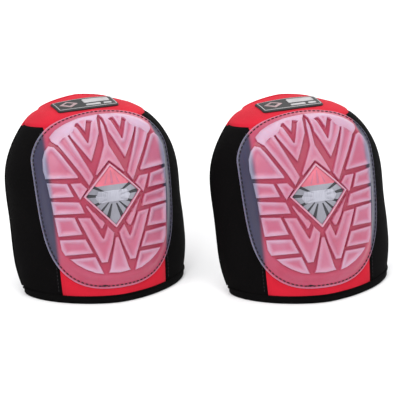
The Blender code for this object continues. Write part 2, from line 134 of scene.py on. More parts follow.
TREAD_BLOCKS = (
    ((1.6, 181.5), (10.0, 174.6), (16.6, 157.0), (23.0, 171.6), (30.5, 176.0), (34.5, 171.0),
     (31.0, 162.0), (16.2, 137.8), (6.2, 159.5), (4.0, 164.0), (3.4, 170.0)),
    ((12.4, 176.6), (16.8, 165.0), (21.6, 174.4), (24.5, 179.0), (12.0, 181.2)),
    ((15.6, 124.4), (21.2, 115.6), (28.0, 129.0), (40.4, 150.2), (45.5, 158.6), (50.0, 162.4),
     (48.6, 166.6), (42.5, 171.5), (35.5, 172.0), (31.6, 162.0), (17.0, 128.2)),
    ((30.2, 124.8), (60.6, 128.4), (61.8, 137.0), (60.8, 146.8), (57.4, 154.0), (52.8, 158.2),
     (47.2, 156.6), (42.4, 149.6), (29.6, 127.0)),
    ((40.6, 122.2), (35.2, 108.0), (58.6, 110.6), (60.2, 126.2)),
    ((22.4, 114.2), (28.2, 121.2), (38.9, 122.0), (32.4, 107.0), (30.8, 104.0), (28.8, 106.6)),
    ((31.6, 103.4), (58.2, 108.6), (57.0, 94.4), (27.0, 91.0), (29.4, 98.6)),
    ((37.2, 89.8), (30.6, 71.2), (54.3, 72.6), (56.6, 93.0)),
    ((28.8, 67.2), (53.6, 70.4), (52.6, 59.6), (49.6, 52.8), (22.2, 51.4)),
    ((21.0, 48.8), (46.0, 49.6), (39.2, 42.4), (31.6, 36.8), (22.0, 32.0), (14.0, 30.2)),
    ((22.8, 87.2), (35.6, 89.2), (27.0, 67.0), (20.4, 50.6), (16.6, 41.2), (10.2, 41.2),
     (4.2, 58.0), (1.6, 69.4), (8.0, 77.6), (12.7, 65.4)),
    ((28.4, 103.0), (26.4, 97.0), (14.9, 74.2), (12.0, 74.4), (9.2, 79.8), (27.2, 102.2)),
)
RAY_CENTRE = (0.0, 104.0)
RAY_ANGLES = ((-76.0, -66.0), (-50.0, -42.0), (-24.0, -15.0), (4.0, 12.0), (28.0, 36.0))
RAY_REACH = (7.0, 32.0)
NAME_BAR = ((-17.0, 104.4), (-13.6, 99.0), (13.6, 99.0), (17.0, 104.4), (13.6, 109.8),
            (-13.6, 109.8))
PLATE_SPLIT = 115.0
RELIEF = 0.45

# Label on the thigh panel
LABEL_HALF_WIDTH = 31.7
LABEL_SPAN = (201.0, 229.0)
LABEL_HEIGHT = 2.1
PRINT_RISE = 0.4

# Straps, measured in each strap's upright plane
STRAP_LEVELS = {"lower": 36.0, "upper": 100.0}
STRAP_HALF_WIDTH = 15.0
STRAP_DEPTH = 4.8
STRAP_ROOT = -68.4
STRAP_THICKNESS = 1.5
PATCH_THICKNESS = 1.3
FOLD_GAP = 2.4
SEWN_HEIGHT = -15.9
PATCH_HEIGHT = -14.3
RING_HALF_HEIGHT = 21.0
CLIP_BAR = (43.0, 8.0)
CLIP_LOOP = 3.2
RING_BAR = (70.0, 8.0)
RING_REACH = 12.0
RING_WIRE = 1.6
RING_CORNER = 3.0
TAB_LOOP = 2.9
TAB_START = ((74.3, 4.3), (73.8, 5.6))
TAB_END = (70.4, 4.6)
CLIP_ROUNDING = 0.45

# Length and radius of one stitch
CAP_STITCH = (3.3, 0.62)
SEAM_STITCH = (2.6, 0.34)
BOX_STITCH = (2.1, 0.35)


# ---------------------------------------------------------------- fabric surface

def mix(start, end, share):
    """Value a share of the way from start to end."""
    return start + (end - start) * share


def paired(first, second):
    """Two values as arrays of one shape."""
    return np.broadcast_arrays(np.asarray(first, float), np.asarray(second, float))


def ease(share):
    """Smooth step from 0 to 1."""
    share = np.clip(share, 0.0, 1.0)
    return share * share * (3.0 - 2.0 * share)


def unit(vectors):
    """The same directions with length one."""
    return vectors / np.maximum(np.linalg.norm(vectors, axis=-1, keepdims=True), 1e-12)


def section_curve(values):
    """Natural cubic through the evenly spaced sections, for arrays of q."""
    heights = np.array(values, dtype=float)
    count = len(heights)
    step = 1.0 / (count - 1)
    system, load = np.eye(count), np.zeros(count)
    for row in range(1, count - 1):
        system[row, row - 1:row + 2] = (1.0, 4.0, 1.0)
        load[row] = 6.0 * (heights[row - 1] - 2.0 * heights[row] + heights[row + 1]) / step ** 2
    bend = np.linalg.solve(system, load)

    def value(q):
        left = np.clip((q / step).astype(int), 0, count - 2)
        far = q / step - left
        near = 1.0 - far
        curve = (near ** 3 - near) * bend[left] + (far ** 3 - far) * bend[left + 1]
        return near * heights[left] + far * heights[left + 1] + curve * step ** 2 / 6.0

    return value


SECTION_CURVES = [section_curve(values) for values in (
    RIM_HALF_WIDTH, RIM_DEPTH, RIM_HEIGHT, CENTRE_DEPTH, CENTRE_HEIGHT, ROUNDNESS)]


def fabric(s, q):
    """Points of the fabric in one pad's own frame."""
    s, q = paired(s, q)
    half, rim_y, rim_z, mid_y, mid_z, roundness = (curve(q) for curve in SECTION_CURVES)
    angle = s * math.pi / 2.0
    across = np.sign(s) * np.abs(np.sin(angle)) ** (2.0 / roundness)
    forward = np.maximum(np.cos(angle), 0.0) ** (2.0 / roundness)
    return np.stack((half * across, mix(rim_y, mid_y, forward), mix(rim_z, mid_z, forward)), -1)


def outward(s, q):
    """Direction of growing height, level near the hem."""
    s, q = paired(s, q)
    top = ease((q - 1.0 + THINNING_BAND) / THINNING_BAND)
    wide, tall = mix(0.02, 0.12, top), mix(0.02, 0.04, top)
    along = fabric(np.minimum(s + wide, 1.0), q) - fabric(np.maximum(s - wide, -1.0), q)
    up = fabric(s, np.minimum(q + tall, 1.0)) - fabric(s, np.maximum(q - tall, 0.0))
    normal = unit(np.cross(along, up))
    normal[..., 2] *= ease(q / UPRIGHT_BAND)
    return unit(normal)


def layer(s, q, height):
    """Points at a height over the fabric; what lies under it thins towards the top edge."""
    s, q = paired(s, q)
    thin = mix(1.0, THINNING, ease((q - 1.0 + THINNING_BAND) / THINNING_BAND))
    height = np.broadcast_to(np.asarray(height, float), s.shape)
    height = np.where(height < 0.0, height * thin, height)
    return fabric(s, q) + outward(s, q) * height[..., None]


def running(points):
    """Length run at each of a row of points."""
    steps = np.linalg.norm(np.diff(points, axis=0), axis=-1)
    return np.concatenate(([0.0], np.cumsum(steps)))


ROW_COUNT, SIDE_COUNT = 160, 80
ROW_STEPS = np.linspace(0.0, 1.0, ROW_COUNT + 1)
SIDE_STEPS = np.linspace(0.0, 1.0, SIDE_COUNT + 1)
UP_LENGTHS = running(fabric(0.0, ROW_STEPS))
SIDE_LENGTHS = np.array([running(fabric(SIDE_STEPS, q)) for q in ROW_STEPS])


def side_lengths_at(q):
    """Running lengths from the middle to the rim along the rows at q."""
    row = np.clip(q * ROW_COUNT, 0.0, ROW_COUNT - 1e-6)
    low = row.astype(int)
    share = (row - low)[..., None]
    return SIDE_LENGTHS[low] * (1.0 - share) + SIDE_LENGTHS[low + 1] * share


def place(across, up):
    """(s, q) of points given in millimetres across and up."""
    across, up = paired(across, up)
    q = np.interp(up, UP_LENGTHS, ROW_STEPS)
    lengths = side_lengths_at(q)
    reach = np.abs(across)
    right = np.clip((lengths < reach[..., None]).sum(-1), 1, SIDE_COUNT)
    before = np.take_along_axis(lengths, (right - 1)[..., None], -1)[..., 0]
    after = np.take_along_axis(lengths, right[..., None], -1)[..., 0]
    s = (right - 1 + np.clip((reach - before) / (after - before), 0.0, 1.0)) / SIDE_COUNT
    return np.copysign(s, across), q


def measured(s, q):
    """Millimetres across and up of places on the fabric."""
    s, q = paired(s, q)
    lengths = side_lengths_at(q)
    column = np.clip(np.abs(s) * SIDE_COUNT, 0.0, SIDE_COUNT - 1e-6)
    low = column.astype(int)[..., None]
    share = column - low[..., 0]
    before = np.take_along_axis(lengths, low, -1)[..., 0]
    after = np.take_along_axis(lengths, low + 1, -1)[..., 0]
    across = np.sign(s) * mix(before, after, share)
    return np.stack((across, np.interp(q, ROW_STEPS, UP_LENGTHS)), -1)


def row_at_height(s, level):
    """q at which the fabric reaches a level over the floor, for arrays."""
    s, level = paired(s, level)
    low, high = np.zeros(s.shape), np.ones(s.shape)
    for _ in range(26):
        middle = (low + high) / 2.0
        below = fabric(s, middle)[..., 2] < level
        low, high = np.where(below, middle, low), np.where(below, high, middle)
    return low


def in_world(points, hand):
    """Points of one pad's own frame, in metres where that pad stands."""
    x, y, z = points.T
    cosine, sine = math.cos(PAD_TURN), math.sin(PAD_TURN)
    world_x = x * cosine - y * sine + hand * PAD_SPACING + PAIR_SHIFT[0]
    world_y = x * sine + y * cosine + PAIR_SHIFT[1]
    return np.stack((world_x, world_y, z), -1) * MM


# ---------------------------------------------------------------- flat outlines

def inside_distance(outline, points):
    """Distance inside an outline for many points; negative outside it."""
    corners = np.array(outline, dtype=float)
    best = np.full(len(points), np.inf)
    inside = np.zeros(len(points), dtype=bool)
    for start, end in zip(corners, np.roll(corners, -1, axis=0)):
        edge = end - start
        share = np.clip((points - start) @ edge / max(edge @ edge, 1e-12), 0.0, 1.0)
        best = np.minimum(best, np.linalg.norm(points - start - share[:, None] * edge, axis=1))
        if start[1] != end[1]:
            crosses = (start[1] > points[:, 1]) != (end[1] > points[:, 1])
            meets = start[0] + (points[:, 1] - start[1]) * edge[0] / edge[1]
            inside ^= crosses & (points[:, 0] < meets)
    return np.where(inside, best, -best)


def shrunk(outline, inset):
    """Outline moved inwards by an inset; None where it would turn over."""
    corners = np.array(outline, dtype=float)
    before, after = np.roll(corners, 1, axis=0), np.roll(corners, -1, axis=0)
    area = np.sum(corners[:, 0] * after[:, 1] - after[:, 0] * corners[:, 1])
    hand = 1.0 if area > 0.0 else -1.0
    coming, going = unit(corners - before), unit(after - corners)
    in_coming = np.stack((-coming[:, 1], coming[:, 0]), -1) * hand
    in_going = np.stack((-going[:, 1], going[:, 0]), -1) * hand
    split = unit(in_coming + in_going)
    reach = inset / np.maximum(np.sum(split * in_going, axis=1), 0.25)
    moved = corners + split * reach[:, None]
    kept = np.sum((np.roll(moved, -1, axis=0) - moved) * (after - corners), axis=1)
    return moved if np.all(kept > 0.0) else None


def mirrored(outline):
    """The same outline on the left half."""
    return [(-x, y) for x, y in reversed(outline)]


def both_halves(outline):
    """Outline given by its right half, from the bottom to the top or the other way."""
    return [*outline, *((-x, y) for x, y in reversed(outline) if x > 0.0)]


def raised(outline, points, lead, run):
    """0 outside an outline and 1 inside it, rising over a run that starts a lead outside it."""
    return ease((inside_distance(outline, points) + lead) / run)


def cap_outline(steps=132):
    """Rounded outline of the cap, fuller at the bottom."""
    angles = np.linspace(0.0, 2.0 * math.pi, steps, endpoint=False)
    power = np.where(np.sin(angles) > 0.0, *CAP_ROUNDNESS)
    cosine, sine = np.cos(angles), np.sin(angles)
    stretch = (np.abs(cosine) ** power + np.abs(sine) ** power) ** (-1.0 / power)
    reach = np.where(sine > 0.0, CAP_RISE, CAP_DROP)
    return np.stack((CAP_HALF_WIDTH * cosine * stretch, CAP_CENTRE + reach * sine * stretch), -1)


def arc(centre, radius, start, end, steps):
    """Points of an arc, angles in degrees."""
    angles = np.radians(np.linspace(start, end, steps))
    return [(centre[0] + radius * math.cos(a), centre[1] + radius * math.sin(a)) for a in angles]


def rounded_box(low, high, radius, steps=5):
    """Rectangle with rounded corners."""
    near, far = (low[0] + radius, low[1] + radius), (high[0] - radius, high[1] - radius)
    centres = (far, (near[0], far[1]), near, (far[0], near[1]))
    return [point for turn, centre in enumerate(centres)
            for point in arc(centre, radius, turn * 90.0, turn * 90.0 + 90.0, steps)]


# ---------------------------------------------------------------- making meshes

UV_PER_MM = 0.01
GRID_ROW_SHARE = 0.87
GRID_CLEARANCE = 0.4


def new_piece(name, vertices, faces, smooth=40.0):
    """Mesh object from points in metres."""
    data = bpy.data.meshes.new(name)
    data.from_pydata([tuple(point) for point in vertices], [], [tuple(face) for face in faces])
    piece = bpy.data.objects.new(name, data)
    bpy.context.collection.objects.link(piece)
    return tidy_piece(piece, smooth)


def only(piece):
    """Make one object the active and only selected one."""
    bpy.ops.object.select_all(action="DESELECT")
    piece.select_set(True)
    bpy.context.view_layer.objects.active = piece


def volume(piece):
    """Signed volume of a closed mesh, times six."""
    data = piece.data
    data.calc_loop_triangles()
    points = np.empty(len(data.vertices) * 3)
    data.vertices.foreach_get("co", points)
    corners = np.empty(len(data.loop_triangles) * 3, dtype=np.int32)
    data.loop_triangles.foreach_get("vertices", corners)
    a, b, c = points.reshape(-1, 3)[corners.reshape(-1, 3)].transpose(1, 0, 2)
    return float(np.sum(a * np.cross(b, c)))


def tidy_piece(piece, smooth):
    """Faces outward, edges below an angle shaded smooth."""
    only(piece)
    bpy.ops.object.mode_set(mode="EDIT")
    bpy.ops.mesh.select_all(action="SELECT")
    bpy.ops.mesh.normals_make_consistent(inside=False)
    bpy.ops.object.mode_set(mode="OBJECT")
    if volume(piece) < 0.0:
        bpy.ops.object.mode_set(mode="EDIT")
        bpy.ops.mesh.flip_normals()
        bpy.ops.object.mode_set(mode="OBJECT")
    bpy.ops.object.shade_smooth_by_angle(angle=math.radians(smooth))
    return piece


def rounded_edges(piece, width, segments=2, angle=45.0):
    """Bevel the hard edges, in millimetres."""
    only(piece)
    bevel = piece.modifiers.new("edges", "BEVEL")
    bevel.width = width * MM
    bevel.segments = segments
    bevel.limit_method = "ANGLE"
    bevel.angle_limit = math.radians(angle)
    bpy.ops.object.modifier_apply(modifier=bevel.name)


def add_uv(piece, flat):
    """UV map from millimetres given for every vertex."""
    data = piece.data
    uv = data.uv_layers.get("UVMap") or data.uv_layers.new(name="UVMap")
    loops = np.empty(len(data.loops), dtype=np.int32)
    data.loops.foreach_get("vertex_index", loops)
    uv.data.foreach_set("uv", (np.asarray(flat)[loops] * UV_PER_MM).ravel())


def add_values(piece, name, values):
    """Float attribute on the vertices."""
    attribute = piece.data.attributes.new(name, "FLOAT", "POINT")
    attribute.data.foreach_set("value", np.asarray(values, dtype=np.float32))


def cloth_piece(name, columns, rows, shape, smooth=60.0):
    """Closed sheet from a grid; shape(u, v, side) gives points in metres and flat millimetres.
    side is 0 on the outer face and 1 on the inner face."""
    bpy.ops.object.select_all(action="DESELECT")
    bpy.ops.mesh.primitive_grid_add(x_subdivisions=columns, y_subdivisions=rows, size=1.0)
    piece = bpy.context.object
    piece.name = piece.data.name = name
    bpy.ops.object.mode_set(mode="EDIT")
    bpy.ops.mesh.select_all(action="SELECT")
    bpy.ops.mesh.extrude_region_move(TRANSFORM_OT_translate={"value": (0.0, 0.0, -1.0)})
    bpy.ops.object.mode_set(mode="OBJECT")
    data = piece.data
    flat = np.empty(len(data.vertices) * 3)
    data.vertices.foreach_get("co", flat)
    grid = flat.reshape(-1, 3)
    points, sheet = shape(grid[:, 0] + 0.5, grid[:, 1] + 0.5, -grid[:, 2])
    data.vertices.foreach_set("co", np.ascontiguousarray(points).ravel())
    add_uv(piece, sheet)
    data.update()
    return tidy_piece(piece, smooth)


def moulded_piece(name, outline, rings, spacing, heights, base, hand, smooth=35.0):
    """Closed moulding over the fabric, with edges along every ring.
    heights(points) gives the outer face; returns the piece and its vertices' millimetres."""
    points, edges = [], []
    for ring in [outline, *rings]:
        if ring is None:
            continue
        ring, walk = np.array(ring, dtype=float), []
        for start, end in zip(ring, np.roll(ring, -1, axis=0)):
            count = max(1, math.ceil(math.dist(start, end) / spacing))
            walk += [tuple(mix(start, end, step / count)) for step in range(count)]
        first = len(points)
        points += walk
        edges += [(first + i, first + (i + 1) % len(walk)) for i in range(len(walk))]
    low, high = np.min(outline, axis=0), np.max(outline, axis=0)
    rows = np.arange(low[1], high[1], spacing * GRID_ROW_SHARE)
    for index, y in enumerate(rows):
        shift = spacing / 2.0 if index % 2 else 0.0
        points += [(x, y) for x in np.arange(low[0] + shift, high[0], spacing)]
    near = inside_distance(outline, np.array(points))
    keep = [i for i in range(len(points)) if i < len(edges) or near[i] > spacing * GRID_CLEARANCE]
    flat, _, triangles, *_ = delaunay_2d_cdt([Vector(points[i]) for i in keep], edges, [], 0, 1e-4)
    flat = np.array([tuple(point) for point in flat])
    triangles = np.array([face for face in triangles if len(face) == 3])
    middle = flat[triangles].mean(axis=1)
    triangles = triangles[inside_distance(outline, middle) > 0.0]
    used, triangles = np.unique(triangles, return_inverse=True)
    flat, triangles = flat[used], triangles.reshape(-1, 3)
    s, q = place(flat[:, 0], flat[:, 1])
    outer, inner = layer(s, q, heights(flat)), layer(s, q, base)
    count = len(flat)
    sides = np.concatenate([triangles[:, [0, 1]], triangles[:, [1, 2]], triangles[:, [2, 0]]])
    ordered = np.sort(sides, axis=1)
    _, index, repeats = np.unique(ordered, axis=0, return_index=True, return_counts=True)
    border = sides[index[repeats == 1]]
    walls = np.stack((border[:, 1], border[:, 0], border[:, 0] + count, border[:, 1] + count), -1)
    faces = [*triangles.tolist(), *(triangles[:, ::-1] + count).tolist(), *walls.tolist()]
    piece = new_piece(name, in_world(np.concatenate((outer, inner)), hand), faces, smooth)
    both = np.concatenate((flat, flat))
    add_uv(piece, both)
    return piece, both


def swept_piece(name, rings, hand, smooth=50.0):
    """Closed bar through rings of points in a pad's own frame."""
    rings = np.array(rings)
    count, around = rings.shape[:2]
    base = np.arange(count - 1)[:, None] * around + np.arange(around)[None, :]
    ahead = np.arange(count - 1)[:, None] * around + (np.arange(around)[None, :] + 1) % around
    faces = np.stack((base, ahead, ahead + around, base + around), -1).reshape(-1, 4).tolist()
    faces += [list(range(around))[::-1], list(range((count - 1) * around, count * around))]
    piece = new_piece(name, in_world(rings.reshape(-1, 3), hand), faces, smooth)
    lengths = running(rings.mean(axis=1))
    girth = running(rings[count // 2])
    add_uv(piece, np.stack((np.repeat(lengths, around), np.tile(girth, count)), -1))
    return piece


def stitch_row(name, spots, hand, length, radius):
    """Small rounded stitches; spots are (point, along, out) in a pad's own frame."""
    bpy.ops.object.select_all(action="DESELECT")
    bpy.ops.mesh.primitive_uv_sphere_add(segments=6, ring_count=5, radius=1.0)
    pattern = bpy.context.object
    round_shape = np.array([tuple(vertex.co) for vertex in pattern.data.vertices])
    round_faces = [list(face.vertices) for face in pattern.data.polygons]
    bpy.data.objects.remove(pattern, do_unlink=True)
    vertices, faces = [], []
    body = round_shape * (radius, radius * 0.8, length / 2.0)
    for point, along, out in spots:
        first = len(vertices)
        vertices += list(point + body @ np.stack((np.cross(along, out), out, along)))
        faces += [[first + corner for corner in face] for face in round_faces]
    return new_piece(name, in_world(np.array(vertices), hand), faces, 80.0)


def stitches_along(across_up, height, pitch):
    """Evenly spaced stitch places along a line given in millimetres across and up."""
    line = np.array(across_up, dtype=float)
    s, q = place(line[:, 0], line[:, 1])
    points = layer(s, q, height)
    lengths = running(points)
    count = max(2, int(lengths[-1] / pitch))
    stops = (np.arange(count) + 0.5) * lengths[-1] / count

    def along(columns, shift=0.0):
        return np.stack([np.interp(stops + shift, lengths, column) for column in columns.T], -1)

    reach = 0.8
    directions = unit(along(points, reach) - along(points, -reach))
    return list(zip(along(points), directions, outward(*place(*along(line).T))))


# ---------------------------------------------------------------- materials

def colours():
    """The user's colours."""
    return bpy.context.scene.knee_pad_colours


def sizes():
    """The user's sizes."""
    return bpy.context.scene.knee_pad_sizes


class Look:
    """Node material under construction, with short helpers."""

    def __init__(self, name, roughness=0.5, metallic=0.0, **fixed):
        self.material = bpy.data.materials.new(name)
        self.material.use_nodes = True
        self.tree = self.material.node_tree
        self.shader = self.tree.nodes["Principled BSDF"]
        self.shader.inputs["Roughness"].default_value = roughness
        self.shader.inputs["Metallic"].default_value = metallic
        for socket, value in fixed.items():
            self.shader.inputs[socket.replace("_", " ")].default_value = value
        self.coords = self.tree.nodes.new("ShaderNodeTexCoord")

    def node(self, kind, links=None, values=None, **settings):
        """New node with its settings, its fixed inputs and its linked inputs."""
        made = self.tree.nodes.new(kind)
        for name, value in settings.items():
            setattr(made, name, value)
        for socket, value in (values or {}).items():
            made.inputs[socket].default_value = value
        for socket, source in (links or {}).items():
            self.tree.links.new(source, made.inputs[socket])
        return made

    def scaled(self, source, scale, turn=0.0):
        """Coordinates scaled and turned."""
        mapping = self.node("ShaderNodeMapping", {"Vector": self.coords.outputs[source]},
                            {"Scale": scale, "Rotation": (0.0, 0.0, turn)})
        return mapping.outputs["Vector"]

    def maths(self, operation, first, second):
        """Sum, product or other of two values, each a socket or a number."""
        links, values = {}, {}
        for index, item in enumerate((first, second)):
            (values if isinstance(item, (int, float)) else links)[index] = item
        return self.node("ShaderNodeMath", links, values, operation=operation).outputs[0]

    def noise(self, coords, scale, detail=3.0):
        """Noise factor."""
        return self.node("ShaderNodeTexNoise", {"Vector": coords},
                         {"Scale": scale, "Detail": detail}).outputs["Fac"]

    def bands(self, coords, direction, values):
        """Wave bands across one direction."""
        return self.node("ShaderNodeTexWave", {"Vector": coords}, values,
                         bands_direction=direction).outputs["Fac"]

    def ramp(self, factor, stops):
        """Colour ramp over a factor."""
        ramp = self.node("ShaderNodeValToRGB", {"Fac": factor})
        bar = ramp.color_ramp.elements
        while len(bar) < len(stops):
            bar.new(0.5)
        for element, (position, colour) in zip(bar, stops):
            element.position = position
            element.color = (*colour, 1.0)
        return ramp.outputs["Color"]

    def blend(self, factor, first, second, mode="MIX"):
        """Colour mixed by a factor; both colours are sockets."""
        mixer = self.node("ShaderNodeMix", data_type="RGBA", blend_type=mode)
        for socket, source in ((0, factor), (6, first), (7, second)):
            if isinstance(source, (int, float)):
                mixer.inputs[socket].default_value = source
            else:
                self.tree.links.new(source, mixer.inputs[socket])
        return mixer.outputs[2]

    def paint(self, colour):
        """Link the base colour."""
        self.tree.links.new(colour, self.shader.inputs["Base Color"])

    def rough(self, factor, low, high):
        """Roughness that follows a factor."""
        spread = self.node("ShaderNodeMapRange", {"Value": factor}, {"To Min": low, "To Max": high})
        self.tree.links.new(spread.outputs["Result"], self.shader.inputs["Roughness"])

    def bump(self, height, strength, distance):
        """Bump from a height."""
        made = self.node("ShaderNodeBump", {"Height": height},
                         {"Strength": strength, "Distance": distance})
        self.tree.links.new(made.outputs["Normal"], self.shader.inputs["Normal"])


def shade(colour, share):
    """Colour darkened or lightened by a share."""
    return tuple(min(channel * share, 1.0) for channel in colour)


def knit_look(name, colour, pitch, bump, darker, sheen, shine):
    """Stretch fabric: fine rows of knit, uneven dye and a soft nap."""
    look = Look(name, 0.86, Sheen_Weight=sheen, Sheen_Roughness=0.5, Specular_IOR_Level=shine)
    per_unit = 100.0 / pitch
    grid = look.scaled("UV", (per_unit, per_unit, 1.0))
    waves = {"Scale": 0.32, "Distortion": 0.6, "Detail": 1.0}
    weave = look.maths("MULTIPLY", look.bands(grid, "X", waves), look.bands(grid, "Y", waves))
    blotch = look.noise(look.coords.outputs["Object"], 38.0, 4.0)
    fuzz = look.noise(look.coords.outputs["Object"], 900.0, 2.0)
    base = look.ramp(blotch, ((0.3, shade(colour, darker)), (0.72, colour)))
    tint = look.ramp(weave, ((0.0, (0.8, 0.8, 0.8)), (0.6, (1.0, 1.0, 1.0))))
    look.paint(look.blend(1.0, base, tint, "MULTIPLY"))
    look.bump(look.maths("ADD", weave, look.maths("MULTIPLY", fuzz, 0.7)), bump, 0.0004)
    look.rough(fuzz, 0.78, 0.95)
    return look.material


def webbing_look(name, colour):
    """Woven strap: chevron ribs along the length."""
    look = Look(name, 0.8, Sheen_Weight=0.08, Specular_IOR_Level=0.3)
    grid = look.scaled("UV", (100.0, 100.0, 1.0))
    slanted = look.scaled("UV", (100.0, 100.0, 1.0), 0.8)
    ribs = look.bands(grid, "Y", {"Scale": 0.16, "Distortion": 0.0})
    slant = look.bands(slanted, "X", {"Scale": 0.3, "Distortion": 0.2})
    weave = look.maths("ADD", ribs, look.maths("MULTIPLY", slant, 0.6))
    look.paint(look.ramp(weave, ((0.1, shade(colour, 0.5)), (1.2, shade(colour, 1.6)))))
    look.bump(weave, 0.6, 0.0005)
    return look.material


def moulded_look(name, colour, roughness, grain=450.0, bump=0.12, metallic=0.0):
    """Moulded plastic, rubber or cast metal with a fine grain and worn spots."""
    look = Look(name, roughness, metallic)
    fine = look.noise(look.coords.outputs["Object"], grain, 3.0)
    broad = look.noise(look.coords.outputs["Object"], 60.0, 4.0)
    look.paint(look.ramp(broad, ((0.35, shade(colour, 0.8)), (0.7, shade(colour, 1.15)))))
    look.rough(broad, roughness - 0.07, roughness + 0.1)
    look.bump(fine, bump, 0.0003)
    return look.material


def brushed_look(name, colour, roughness):
    """Silver print with fine streaks running up the plate."""
    look = Look(name, roughness, 0.55)
    streaks = look.noise(look.scaled("UV", (260.0, 8.0, 1.0)), 1.0, 3.0)
    broad = look.noise(look.coords.outputs["Object"], 90.0, 2.0)
    tone = look.ramp(streaks, ((0.3, shade(colour, 0.75)), (0.7, shade(colour, 1.12))))
    look.paint(look.blend(0.3, tone, look.ramp(broad, ((0.3, shade(colour, 0.6)), (0.7, colour)))))
    look.rough(streaks, roughness - 0.08, roughness + 0.1)
    look.bump(streaks, 0.15, 0.0002)
    return look.material


def cap_look(name):
    """Milky see-through rubber: the colour below it shows where it is thin; painted highlights lie
    on the block rims.
    """
    hues = colours()
    look = Look(name, 0.3, Coat_Weight=0.08, Coat_Roughness=0.2, Specular_IOR_Level=0.35,
                Subsurface_Weight=0.12, Subsurface_Scale=0.004)
    milk, dark, aside = (look.node("ShaderNodeAttribute", attribute_name=name).outputs["Fac"]
                         for name in ("milk", "over_black", "aside"))
    cloud = look.noise(look.coords.outputs["Object"], 45.0, 3.0)
    fine = look.noise(look.coords.outputs["Object"], 260.0, 2.0)
    drift = look.maths("MULTIPLY", look.maths("SUBTRACT", cloud, 0.5), 0.28)
    depth = look.maths("ADD", milk, drift)
    red, pink, milky, pale = hues.cap_over_red, hues.cap_middle, hues.cap_thick, hues.cap_side
    middle = look.ramp(depth, ((0.0, shade(red, 0.8)), (0.2, red), (0.55, pink), (0.95, milky)))
    flank = look.ramp(depth, ((0.0, shade(red, 0.8)), (0.2, red), (0.5, pink), (0.85, pale)))
    over_red = look.blend(aside, middle, flank)
    slate, haze = hues.cap_over_black, hues.cap_black_thick
    over_black = look.ramp(depth, ((0.0, shade(slate, 0.75)), (0.3, slate), (0.95, haze)))
    look.paint(look.blend(dark, over_red, over_black))
    look.rough(cloud, 0.24, 0.42)
    look.bump(fine, 0.05, 0.0003)
    return look.material


_looks = {}


def look_for(key):
    """Material by its short name, made once."""
    if key not in _looks:
        hues = colours()
        makers = {
            # Stitch pitch, bump, darker share, sheen, shine
            "red_fabric": (knit_look, "red_knit", hues.red, 1.1, 0.3, 0.85, 0.03, 0.15),
            "black_fabric": (knit_look, "black_knit", hues.black, 1.3, 0.4, 0.7, 0.0, 0.05),
            "red_tape": (knit_look, "red_tape", hues.red, 0.9, 0.4, 0.75, 0.1, 0.2),
            "black_tape": (knit_look, "black_tape", shade(hues.black, 0.8), 0.9, 0.4, 0.7, 0.0,
                           0.06),
            "lining": (knit_look, "lining_mesh", hues.lining, 2.2, 0.6, 0.7, 0.2, 0.2),
            "cushion": (knit_look, "brushed_cushion", hues.cushion, 1.8, 0.5, 0.7, 0.3, 0.2),
            "cap": (cap_look, "milky_rubber"),
            "thread": (webbing_look, "black_thread", (0.012, 0.01, 0.014)),
            "webbing": (webbing_look, "strap_webbing", (0.02, 0.02, 0.022)),
            # Roughness
            "silver": (brushed_look, "brushed_silver", hues.silver, 0.36),
            "steel_dark": (brushed_look, "dark_ray", shade(hues.silver, 0.16), 0.42),
            "steel_light": (brushed_look, "light_ray", shade(hues.silver, 1.45), 0.34),
            # Roughness, grain, bump, metallic
            "plate_red": (moulded_look, "plate_red", hues.plate_red, 0.36, 300.0),
            "plate_pink": (moulded_look, "plate_pink", hues.cap_middle, 0.36, 300.0),
            "label_rubber": (moulded_look, "label_rubber", (0.006, 0.006, 0.007), 0.6),
            "label_print": (moulded_look, "label_print", (0.36, 0.35, 0.36), 0.45),
            "label_emblem": (moulded_look, "label_emblem", (0.3, 0.2, 0.21), 0.45),
            "buckle": (moulded_look, "buckle_plastic", (0.018, 0.018, 0.02), 0.42, 700.0),
            "ring": (moulded_look, "ring_metal", (0.5, 0.5, 0.52), 0.3, 900.0, 0.05, 1.0),
            "foam": (moulded_look, "moulded_foam", (0.05, 0.05, 0.055), 0.9, 1400.0, 0.5),
            "gel": (moulded_look, "gel_block", (0.16, 0.3, 0.55), 0.25, 60.0, 0.2),
        }
        maker, *details = makers[key]
        _looks[key] = maker(*details)
    return _looks[key]


def dress(piece, *keys):
    """Give a piece its materials."""
    piece.data.materials.clear()
    for key in keys:
        piece.data.materials.append(look_for(key))


def finish_piece(piece, body, slot, *nodes):
    """Ride on a body and stand for CAD nodes; slot is not used."""
    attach(piece, body)
    if nodes:
        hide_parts(*nodes)


# ---------------------------------------------------------------- fabric covers

def seam_dip(distance):
    """Height of a cover near a sewn edge, in millimetres."""
    return -SEAM_DEPTH * (1.0 - ease(distance / SEAM_REACH)) ** 1.5


def ripple(sheet):
    """Slight unevenness of stretched cloth."""
    x, y = sheet[:, 0], sheet[:, 1]
    return 0.14 * np.sin(x * 0.21 + 1.3 * np.sin(y * 0.045)) * np.sin(y * 0.13 + x * 0.04)


def yoke_row(s, side):
    """q of the seam below the thigh panel."""
    up = mix(YOKE_MIDDLE, YOKE_RIM, s * s) + side * SEAM_GAP / 2.0
    return np.interp(up, UP_LENGTHS, ROW_STEPS)


def cover(name, columns, rows, where, edges, hand):
    """Cover panel; where(u, v) gives (s, q), and edges(sheet, v) the distance to its seams."""
    def shape(u, v, side):
        s, q = where(u, v)
        q = np.maximum(q, row_at_height(s, HEM_TOP))
        sheet = measured(s, q)
        dip = seam_dip(edges(sheet, v)) + ripple(sheet)
        height = np.where(side > 0.5, np.minimum(dip - CLOTH_THICKNESS, -1.5), dip)
        return in_world(layer(s, q, height), hand), sheet
    return cloth_piece(name, columns, rows, shape)


